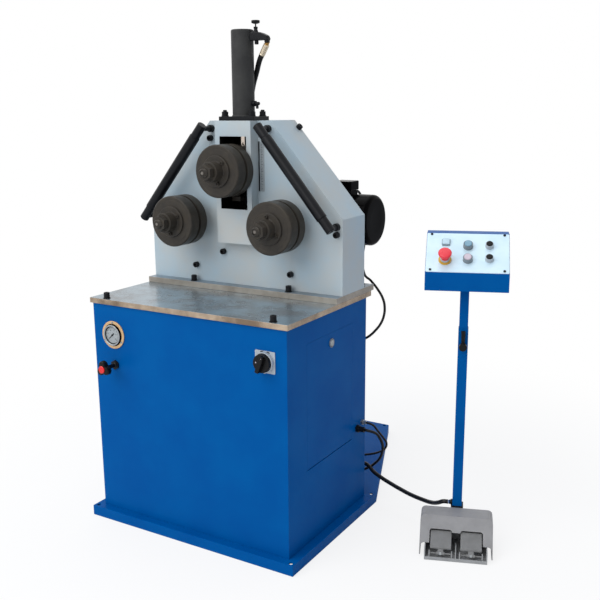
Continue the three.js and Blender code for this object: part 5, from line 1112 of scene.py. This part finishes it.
class BuildDrive(bpy.types.Operator):
    """Models the gear motor behind the head"""

    bl_idname = "ring_roller.drive"
    bl_label = "Drive"

    def execute(self, context):
        clad("gearbox_housing", "painted_casting", 0.003, 3, "gearbox_skin")
        clad("drive_pinion", "raw_steel", 0.0004, name="pinion_skin")
        axis_y, axis_z = 0.3002, 0.927
        cowl, case, bend, end = 0.079, 0.076, 0.014, 0.345
        dome = [
            (cowl - bend + bend * math.cos(turn), end - bend + bend * math.sin(turn))
            for turn in map(math.radians, range(0, 91, 15))
        ]
        drum = lathed("motor_drum", [
            (0.085, 0.1103), (0.085, 0.1185), (0.0835, 0.12), (case, 0.12),
            (case, 0.2815), (case - 0.0008, 0.2822), (case - 0.0008, 0.283),
            (cowl - 0.001, 0.283), (cowl, 0.2845), *dome, (0.04, end), (0.038, end - 0.0006),
            (0.004, end - 0.0006),
        ], 128, 0.0006, facing(RIGHT, (0, axis_y, axis_z)))
        # The terminal box stands on the motor, with the gland of the motor cable at its back
        box = shift(0.239, axis_y)
        base = slab("terminal_base", rounded_outline(0.058, 0.054, 0.004), 0.986, 1.0165)
        put(softened(base, 0.0006), box)
        lid = slab("terminal_lid", rounded_outline(0.064, 0.06, 0.006), 1.0175, 1.046)
        put(softened(lid, 0.0025, 4), box)
        screws = patterned("lid_screws", cap_screw("lid_screw", 0.006, 0.0006, 1.0455), [
            box @ shift(x, y) for x in (-0.025, 0.025) for y in (-0.023, 0.023)
        ])
        x, _, z = CORDS["motor_cable"]["route"][0]
        outlet = facing(BACKWARD, (x, 0, z))
        gland = put(hex_piece("terminal_gland", 0.0152, 0.3262, 0.3312), outlet)
        neck = lathed("terminal_neck", [
            (0.0061, 0.329), (0.0061, 0.338), (0.0052, 0.3392),
        ], 32, seat=outlet)
        settle(gathered("motor_skin", [drum, base, lid]), "motor_body", "black_lacquer_and_shade")
        fittings = gathered("motor_fittings", [screws, gland, neck])
        settle(fittings, "motor_body", "moulded_plastic", "black_plastic")
        return {"FINISHED"}


# Fittings on the cabinet front


class BuildFittings(bpy.types.Operator):
    """Models the pressure gauge, the relief valve and the main switch"""

    bl_idname = "ring_roller.fittings"
    bl_label = "Front fittings"

    # How far the front sheet of the cabinet stands before the origin
    sheet = 0.235

    def execute(self, context):
        self.gauge()
        self.valve()
        self.switch()
        return {"FINISHED"}

    def seat(self, node):
        """Faces forward on the axis of a fitting, with heights measured from the origin."""
        centre = middle(node)
        return facing(FORWARD, (centre.x, 0, centre.z))

    def gauge(self):
        seat, sheet, face, dial = self.seat("gauge_case"), self.sheet, 0.239, 0.241
        # The rings start and end below the dial, so that their end discs stay out of sight
        for name, finish, slot, sides, edge, rims in (
            ("gauge_flange", "cream_brass", None, 96, 0.0004, [
                (0.0418, sheet + 0.0001), (0.0429, sheet + 0.0008), (0.043, face - 0.0012),
                (0.042, face), (0.031, face),
            ]),
            ("gauge_can", "black_lacquer_and_shade", "black_paint", 72, 0.0006, [
                (0.0285, 0.201), (0.031, 0.2035), (0.031, sheet + 0.001),
            ]),
            # Painted shade: a black band on the flange and up the side of the bezel, where shade falls
            ("gauge_shade_band", "black_lacquer_and_shade", "black_paint", 96, 0.0002, [
                (0.0345, face - 0.0002), (0.0345, face + 0.0008), (0.0322, face + 0.0012),
                (0.0322, 0.2448), (0.03, 0.245), (0.0298, 0.2401),
            ]),
            ("gauge_bezel", "zinc_plating", "zinc", 96, 0.0003, [
                (0.0318, 0.2397), (0.0322, 0.2449), (0.0314, 0.246), (0.0282, 0.246),
                (0.0272, 0.2448), (0.0268, 0.2402),
            ]),
            # Painted shade: a black ring round the edge of the dial, where the bezel shades it
            ("gauge_shade", "ink_and_shade_black", "black_plastic", 96, 0, [
                (0.0272, 0.2404), (0.0271, dial + 0.0018), (0.0252, dial + 0.0008), (0.0249, 0.2406),
            ]),
            ("gauge_dial", "dial_card", "white_lens", 96, 0, [
                (0.0254, 0.2395), (0.0254, dial), (0.012, dial),
            ]),
        ):
            settle(lathed(name, rims, sides, edge, seat), "gauge_case", finish, slot)
        marks = []
        start, sweep, steps, outer, circle = 222, 264, 50, 0.0238, 0.016
        for i in range(steps + 1):
            turn = math.radians(start - sweep * i / steps)
            length, width = (0.0042, 0.0007) if i % 5 == 0 else (0.0022, 0.0004)
            mark = block("tick", (outer - length, -width / 2, dial - 0.0002),
                         (outer, width / 2, dial + 0.0001))
            marks.append(put(mark, seat @ spun(turn)))
        for i in range(6):
            turn = math.radians(start - sweep * i / 5)
            marks.append(self.number(str(i * 50), 0.0036, seat @ shift(
                circle * math.cos(turn), circle * math.sin(turn), dial,
            )))
        settle(gathered("gauge_print", marks), "gauge_case", "ink_and_shade_black", "black_plastic")
        screws = patterned("gauge_screws", cap_screw("gauge_screws", 0.006, 0.002, face - 0.0004), [
            seat @ spun(math.radians(turn)) @ shift(0.0384) for turn in (90, 210, 330)
        ])
        settle(screws, "gauge_case", "zinc_plating", "zinc")
        clad("gauge_needle", "ink_and_shade_black", 0.0002, name="needle_skin")

    def number(self, words, height, matrix):
        clear_selection()
        bpy.ops.object.text_add()
        text = bpy.context.object
        text.data.body = words
        text.data.size = height
        text.data.align_x = text.data.align_y = "CENTER"
        text.data.extrude = 0.0001
        bpy.ops.object.convert(target="MESH")
        return put(bpy.context.object, matrix)

    def valve(self):
        seat, sheet = self.seat("valve_bush"), self.sheet
        nut = hex_piece("valve_nut", 0.0262, sheet + 0.0001, 0.2411)
        neck = lathed("valve_neck", [
            (0.0085, 0.2408), (0.0085, 0.2422), (0.0061, 0.244), (0.0061, 0.2715), (0.0072, 0.2725),
            (0.0072, 0.275),
        ], 48)
        shank = lathed("valve_shank", [
            (0.0088, 0.205), (0.01, 0.2062), (0.01, sheet + 0.0008),
        ], 48, 0.0004)
        settle(put(gathered("valve_bush_skin", [nut, neck, shank]), seat), "valve_bush", "bar_lacquer")
        radius, lobes, share, turn, cap = 0.025, 3, 0.42, math.radians(100), 0.0112
        knob = turned("valve_knob_skin", [
            (radius * 0.62, 0.2753), (radius * 0.9, 0.277), (radius, 0.2805), (radius, 0.291),
            (radius * 0.9, 0.294), (radius * 0.6, 0.2953), (cap, 0.2953),
        ], 96)
        for vertex in knob.data.vertices:
            reach = math.hypot(vertex.co.x, vertex.co.y)
            if reach > cap + 0.0003:
                angle = math.atan2(vertex.co.y, vertex.co.x) - turn
                swell = 1 - share + share * (0.5 + 0.5 * math.cos(lobes * angle)) ** 0.7
                vertex.co.x *= swell
                vertex.co.y *= swell
        settle(put(softened(knob, 0.0005, 2, 35), seat), "valve_knob", "moulded_plastic")
        button = lathed("valve_cap", [(cap, 0.295), (cap, 0.2972), (0.0098, 0.2982)], 48, seat=seat)
        settle(button, "valve_knob", "valve_red", "red_plastic")

    def switch(self):
        seat = self.seat("switch_plate")
        plate_face, collar_face, disc_face, grip_face = 0.238, 0.244, 0.2585, 0.2702
        outline = rounded_outline(0.064, 0.062, 0.003)
        plate = slab("switch_plate_skin", outline, self.sheet + 0.0001, plate_face)
        settle(put(softened(plate, 0.0006), seat), "switch_plate", "aluminium_plastic")
        box = block("switch_body", (-0.024, -0.024, 0.18), (0.024, 0.024, 0.232), 0.0015)
        settle(put(box, seat), "switch_plate", "moulded_plastic", "black_plastic")
        collar = lathed("switch_collar", [
            (0.0293, plate_face - 0.0005), (0.0293, 0.2475), (0.0285, 0.2485), (0.0265, 0.2485),
            (0.0262, collar_face), (0.02, collar_face),
        ], 72, seat=seat)
        settle(collar, "switch_plate", "aluminium_plastic", "silver_plastic")
        marks = [
            put(softened(slab("switch_mark", [
                (across / 2 * math.cos(turn), tall / 2 * math.sin(turn))
                for turn in map(math.radians, range(0, 360, 15))
            ], plate_face - 0.0001, plate_face + 0.0003), 0), seat @ shift(x, y))
            for x, y, across, tall in (
                (-0.009, 0.0281, 0.0105, 0.0046), (0.0095, 0.0265, 0.0125, 0.0075),
            )
        ]
        settle(gathered("switch_marks", marks), "switch_plate", "ink_and_shade_black", "black_plastic")
        radius = 0.026
        knob = lathed("switch_knob_skin", [
            (radius - 0.0006, collar_face + 0.0003), (radius, collar_face + 0.0012),
            (radius, disc_face - 0.0012), (radius - 0.0012, disc_face), (0.012, disc_face),
        ], 72, 0.0004)
        grip = slab("switch_grip", [
            (-0.0055, -0.0255), (0.0055, -0.0255), (0.0068, -0.004), (0.0064, 0.018), (0.004, 0.0245),
            (-0.004, 0.0245), (-0.0064, 0.018), (-0.0068, -0.004),
        ], disc_face - 0.001, grip_face)
        softened(grip, 0.0014, 3)
        turned_seat = seat @ spun(math.radians(-20))
        knob = put(gathered("switch_knob_skin", [knob, grip]), turned_seat)
        settle(knob, "switch_knob", "moulded_plastic")
        sunk = 0.0002
        dots = [
            lathed("switch_dot", [(reach, face - sunk), (reach, face - sunk + 0.0004)], 24, 0,
                   turned_seat @ shift(x, y))
            for x, y, reach, face in (
                (-0.016, -0.004, 0.0019, disc_face), (0.001, 0.019, 0.0009, grip_face),
            )
        ]
        settle(gathered("switch_dots", dots), "switch_knob", "white_cap", "white_lens")


# Pedestal


PEDESTAL = shift(0.68, 0.189) @ spun(math.radians(20))
# Stands a plate upright: an outline of depth and height, drawn out to the side
ALONG = Matrix(((0, 0, 1, 0), (1, 0, 0, 0), (0, 1, 0, 0), (0, 0, 0, 1)))


class BuildPedestal(bpy.types.Operator):
    """Dresses the poles, the clamp lever, the control box and the foot switch"""

    bl_idname = "ring_roller.pedestal"
    bl_label = "Pedestal"

    def execute(self, context):
        for node, finish, edge, segments in (
            ("pole_lower", "blue_enamel", 0.0018, 3),
            ("pole_upper", "blue_enamel", 0.0018, 3),
            ("control_box", "blue_enamel", 0.001, 3),
            ("clamp_lever", "moulded_plastic", 0.0012, 3),
            ("foot_tray", "tray_coat", 0.0008, 2),
            ("foot_cover", "foot_powder", 0.0008, 2),
        ):
            clad(node, finish, edge, segments)
        self.pedal(-1, "pedal_left")
        self.pedal(1, "pedal_right")
        self.collar()
        return {"FINISHED"}

    def collar(self):
        """The rubber sleeve at the foot of the pole and the gland of the conduit."""
        side, pole, bottom, top, beyond = 0.0365, 0.0282, 0.099, 0.1035, 0.01
        sleeve = slab("pole_collar", rounded_outline(side, side, 0.004), bottom, top)
        hole = slab("collar_hole", rounded_outline(pole, pole, 0.002), bottom - beyond, top + beyond)
        carved(sleeve, hole)
        settle(put(softened(sleeve, 0.0008), PEDESTAL), "foot_cover", "black_rubber", "rubber")
        # The gland sits on the left face of the pole
        gland = lathed("conduit_nut", [
            (0.009, 0), (0.0093, 0.0006), (0.0093, 0.004), (0.0086, 0.0048), (0.0071, 0.0048),
            (0.0069, 0.0084), (0.0064, 0.009),
        ], 48, seat=PEDESTAL @ facing(-RIGHT, (-0.014, 0, 0.108)))
        settle(gland, "pole_lower", "moulded_plastic", "black_plastic")

    def pedal(self, hand, node):
        """A sloped plate with a lip in front, on an arm that swings about its hinge."""
        aside, front, hinge = hand * 0.043, -0.16, (0.008, 0.019)
        width, arm_width, tongue_width = 0.06, 0.016, 0.02
        plate = slab(node + "_skin", [
            (0.06, 0.0643), (0.0143, 0.0362), (0.0131, 0.0348), (0.0131, 0.0296), (0.0158, 0.0296),
            (0.0161, 0.0326), (0.0621, 0.0609),
        ], -width / 2, width / 2)
        arm = slab("pedal_arm", [
            (0.018, 0.0335), (0.036, 0.0445), (0.027, 0.029), (0.014, 0.0158), (0.008, 0.0145),
            (0.0042, 0.0165), (0.0042, 0.0215), (0.0075, 0.026),
        ], -arm_width / 2, arm_width / 2)
        tongue = slab("pedal_tongue", [
            (0.058, 0.0603), (0.096, 0.0603), (0.096, 0.0623), (0.058, 0.0623),
        ], -tongue_width / 2, tongue_width / 2)
        knuckle, pin = [
            lathed(name, [(radius, -reach), (radius, reach)], 32, 0.0004, shift(*hinge))
            for name, radius, reach in (("pedal_knuckle", 0.0045, 0.012), ("pedal_pin", 0.002, 0.033))
        ]
        softened(plate, 0.0009, 3)
        softened(arm, 0.0008)
        softened(tongue, 0.0003)
        whole = gathered(node + "_skin", [plate, arm, tongue, knuckle, pin])
        settle(put(whole, PEDESTAL @ shift(aside, front) @ ALONG), node, "pedal_powder")
        screw = cap_screw(node + "_screw", 0.008, 0.0022)
        put(screw, PEDESTAL @ facing((0, -1, 0.35), (aside, front + 0.0044, 0.0205)))
        settle(screw, node, "zinc_plating", "zinc")


class BuildPanel(bpy.types.Operator):
    """Models the sloped panel with its lamp, buttons and stop button"""

    bl_idname = "ring_roller.panel"
    bl_label = "Control panel"

    def execute(self, context):
        slope, lift, self.foot = math.radians(42.4), 0.0003, 0.0025
        self.face = PEDESTAL @ (
            shift(0.0035, -0.065, 0.822) @ Matrix.Rotation(slope, 4, "X") @ shift(0, 0, lift)
        )
        # The plate starts at the lower edge of the slope
        outline = [(x, y + 0.07) for x, y in rounded_outline(0.228, 0.138, 0.003)]
        plate = slab("panel_skin", outline, 0, self.foot)
        settle(put(softened(plate, 0.0005), self.face), "control_panel", "pale_aluminium")
        screws = patterned("panel_screws", cap_screw("panel_screws", 0.0072, 0.0021, self.foot), [
            self.face @ shift(x, y) for x in (-0.101, 0.101) for y in (0.008, 0.1345)
        ])
        settle(screws, "control_panel", "moulded_plastic", "black_plastic")
        self.buttons()
        self.lamp()
        self.stop()
        return {"FINISHED"}

    def buttons(self):
        foot = self.foot
        # Bezel radius, height, cap radius and finish of the bezel of both kinds of button
        lit = (0.0138, 0.014, 0.0105, "grey_plastic")
        plain = (0.0115, 0.013, 0.0088, "aluminium_plastic")
        for node, place, finish, (bezel, height, cap, ring) in (
            ("button_blue", (0.001, 0.092), "blue_cap", lit),
            ("button_white", (0.001, 0.0447), "white_cap", lit),
            ("button_up", (0.0595, 0.094), "moulded_plastic", plain),
            ("button_down", (0.0595, 0.0477), "moulded_plastic", plain),
        ):
            seat, top = self.face @ shift(*place), foot + height
            rim = lathed(node + "_bezel", [
                (bezel, foot), (bezel, foot + 0.002), (bezel - 0.0008, foot + 0.0028),
                (bezel - 0.0008, top - 0.0012), (bezel - 0.002, top), (cap + 0.0006, top),
                (cap + 0.0003, top - 0.002),
            ], 64, 0.0002, seat)
            settle(rim, "control_panel", ring, "silver_plastic")
            button = lathed(node + "_skin", [
                (cap, top - 0.006), (cap, top + 0.0012), (cap - 0.0008, top + 0.0022),
                (cap - 0.003, top + 0.0025),
            ], seat=seat)
            settle(button, node, finish)

    def lamp(self):
        """The square pilot lamp: a bezel and a milky lens in it."""
        seat, foot = self.face @ shift(-0.0605, 0.105), self.foot
        for name, size, corner, bottom, top, edge, segments, finish, slot in (
            ("lamp_bezel", 0.0235, 0.003, foot - 0.0003, foot + 0.003, 0.0006, 2,
             "grey_plastic", "silver_plastic"),
            ("lamp_lens", 0.0205, 0.0025, foot + 0.002, foot + 0.0075, 0.0014, 3,
             "clear_lens", "white_lens"),
        ):
            piece = slab(name, rounded_outline(size, size, corner), bottom, top)
            settle(put(softened(piece, edge, segments), seat), "control_panel", finish, slot)

    def stop(self):
        """The mushroom button on its collar, with a yellow ring round it and a red neck."""
        seat, foot, low, high = self.face @ shift(-0.0615, 0.043), self.foot, 0.0282, 0.0382
        for name, node, finish, slot, sides, edge, rims in (
            ("stop_ring", "control_panel", "yellow_plastic", "gauge_brass", 64, 0.0002, [
                (0.0182, foot), (0.0182, foot + 0.0022), (0.0175, foot + 0.003), (0.0125, foot + 0.003),
            ]),
            ("stop_collar", "control_panel", "aluminium_plastic", "silver_plastic", 64, 0.0002, [
                (0.0128, foot + 0.0025), (0.0128, foot + 0.009), (0.012, foot + 0.01),
                (0.0105, foot + 0.01),
            ]),
            ("stop_head", "estop_button", "stop_plastic", None, 72, 0.0003, [
                (0.0112, foot + 0.0145), (0.0112, foot + 0.0205), (0.0165, low), (0.0184, low + 0.002),
                (0.0186, high - 0.004), (0.0168, high - 0.0013), (0.013, high - 0.0002), (0.006, high),
            ]),
            ("stop_neck", "control_panel", "valve_red", "red_plastic", 48, 0, [
                (0.0109, foot + 0.0098), (0.0109, foot + 0.0146),
            ]),
        ):
            settle(lathed(name, rims, sides, edge, seat), node, finish, slot)


# Settings, panel and registration


class RollerView(bpy.types.PropertyGroup):
    """Where the camera stands and how the scene is lit"""

    place: bpy.props.FloatVectorProperty(
        name="Camera place", description="Where the camera stands", subtype="TRANSLATION",
        unit="LENGTH", default=(1.4788326, -2.0622837, 1.2649709), precision=6,
    )
    yaw: bpy.props.FloatProperty(
        name="Yaw", description="Turn of the camera from straight ahead to the left", subtype="ANGLE",
        default=math.radians(30.847537),
    )
    pitch: bpy.props.FloatProperty(
        name="Pitch", description="How far the camera looks down", subtype="ANGLE",
        default=math.radians(12.730061),
    )
    roll: bpy.props.FloatProperty(
        name="Roll", description="How far the camera leans", subtype="ANGLE",
        default=math.radians(-0.401123),
    )
    lens: bpy.props.FloatProperty(
        name="Lens", description="Focal length on a 36 mm sensor", default=50.607, unit="CAMERA",
    )
    key_heading: bpy.props.FloatVectorProperty(
        name="Key direction", description="Direction towards the main lamp", subtype="DIRECTION",
        default=(-0.28, -0.78, 0.74),
    )
    key_power: bpy.props.FloatProperty(
        name="Key power", description="Power of the main lamp", default=500, unit="POWER",
    )
    fill_heading: bpy.props.FloatVectorProperty(
        name="Fill direction", description="Direction towards the fill lamp", subtype="DIRECTION",
        default=(-0.15, 0.2, 1.2),
    )
    fill_power: bpy.props.FloatProperty(
        name="Fill power", description="Power of the fill lamp", default=150, unit="POWER",
    )
    ambient: bpy.props.FloatProperty(
        name="Ambient", description="Strength of the even light from all sides", default=0.5,
    )
    floor_lift: bpy.props.FloatProperty(
        name="Floor lift", description="How far the floor is brought up to white", default=0.8,
        subtype="FACTOR", min=0, max=1,
    )


class RollerSizes(bpy.types.PropertyGroup):
    """Edge radii of the plates and sheets"""

    sheet_edge: bpy.props.FloatProperty(
        name="Sheet edge", description="Radius of the bent sheet edges", default=0.002, unit="LENGTH",
    )
    plate_edge: bpy.props.FloatProperty(
        name="Plate edge", description="Radius of the cut plate edges", default=0.0008, unit="LENGTH",
    )
    head_edge: bpy.props.FloatProperty(
        name="Head edge", description="Radius of the ground weld edges of the head", default=0.002,
        unit="LENGTH",
    )


OPERATORS = (
    BuildStage, BuildCords, BuildCabinet, BuildHead, BuildRolls, BuildCylinder, BuildDrive,
    BuildFittings, BuildPedestal, BuildPanel,
)


class RollerSidebar(bpy.types.Panel):
    """Lists the settings and the pieces of the ring roller"""

    bl_idname = "VIEW3D_PT_ring_roller"
    bl_label = "Ring Roller"
    bl_space_type = "VIEW_3D"
    bl_region_type = "UI"
    bl_category = "Ring Roller"

    def draw(self, context):
        for group in (context.scene.ring_roller_view, context.scene.ring_roller_sizes):
            for key in group.__annotations__:
                self.layout.prop(group, key)
        for operator in OPERATORS:
            self.layout.operator(operator.bl_idname)


CLASSES = (RollerView, RollerSizes, *OPERATORS, RollerSidebar)


def register():
    for entry in CLASSES:
        bpy.utils.register_class(entry)
    bpy.types.Scene.ring_roller_view = bpy.props.PointerProperty(type=RollerView)
    bpy.types.Scene.ring_roller_sizes = bpy.props.PointerProperty(type=RollerSizes)


def unregister():
    del bpy.types.Scene.ring_roller_sizes
    del bpy.types.Scene.ring_roller_view
    for entry in reversed(CLASSES):
        bpy.utils.unregister_class(entry)


def main():
    register()
    clear_selection()
    for operator in OPERATORS:
        group, name = operator.bl_idname.split(".")
        getattr(getattr(bpy.ops, group), name)()


if __name__ == "__main__":
    main()
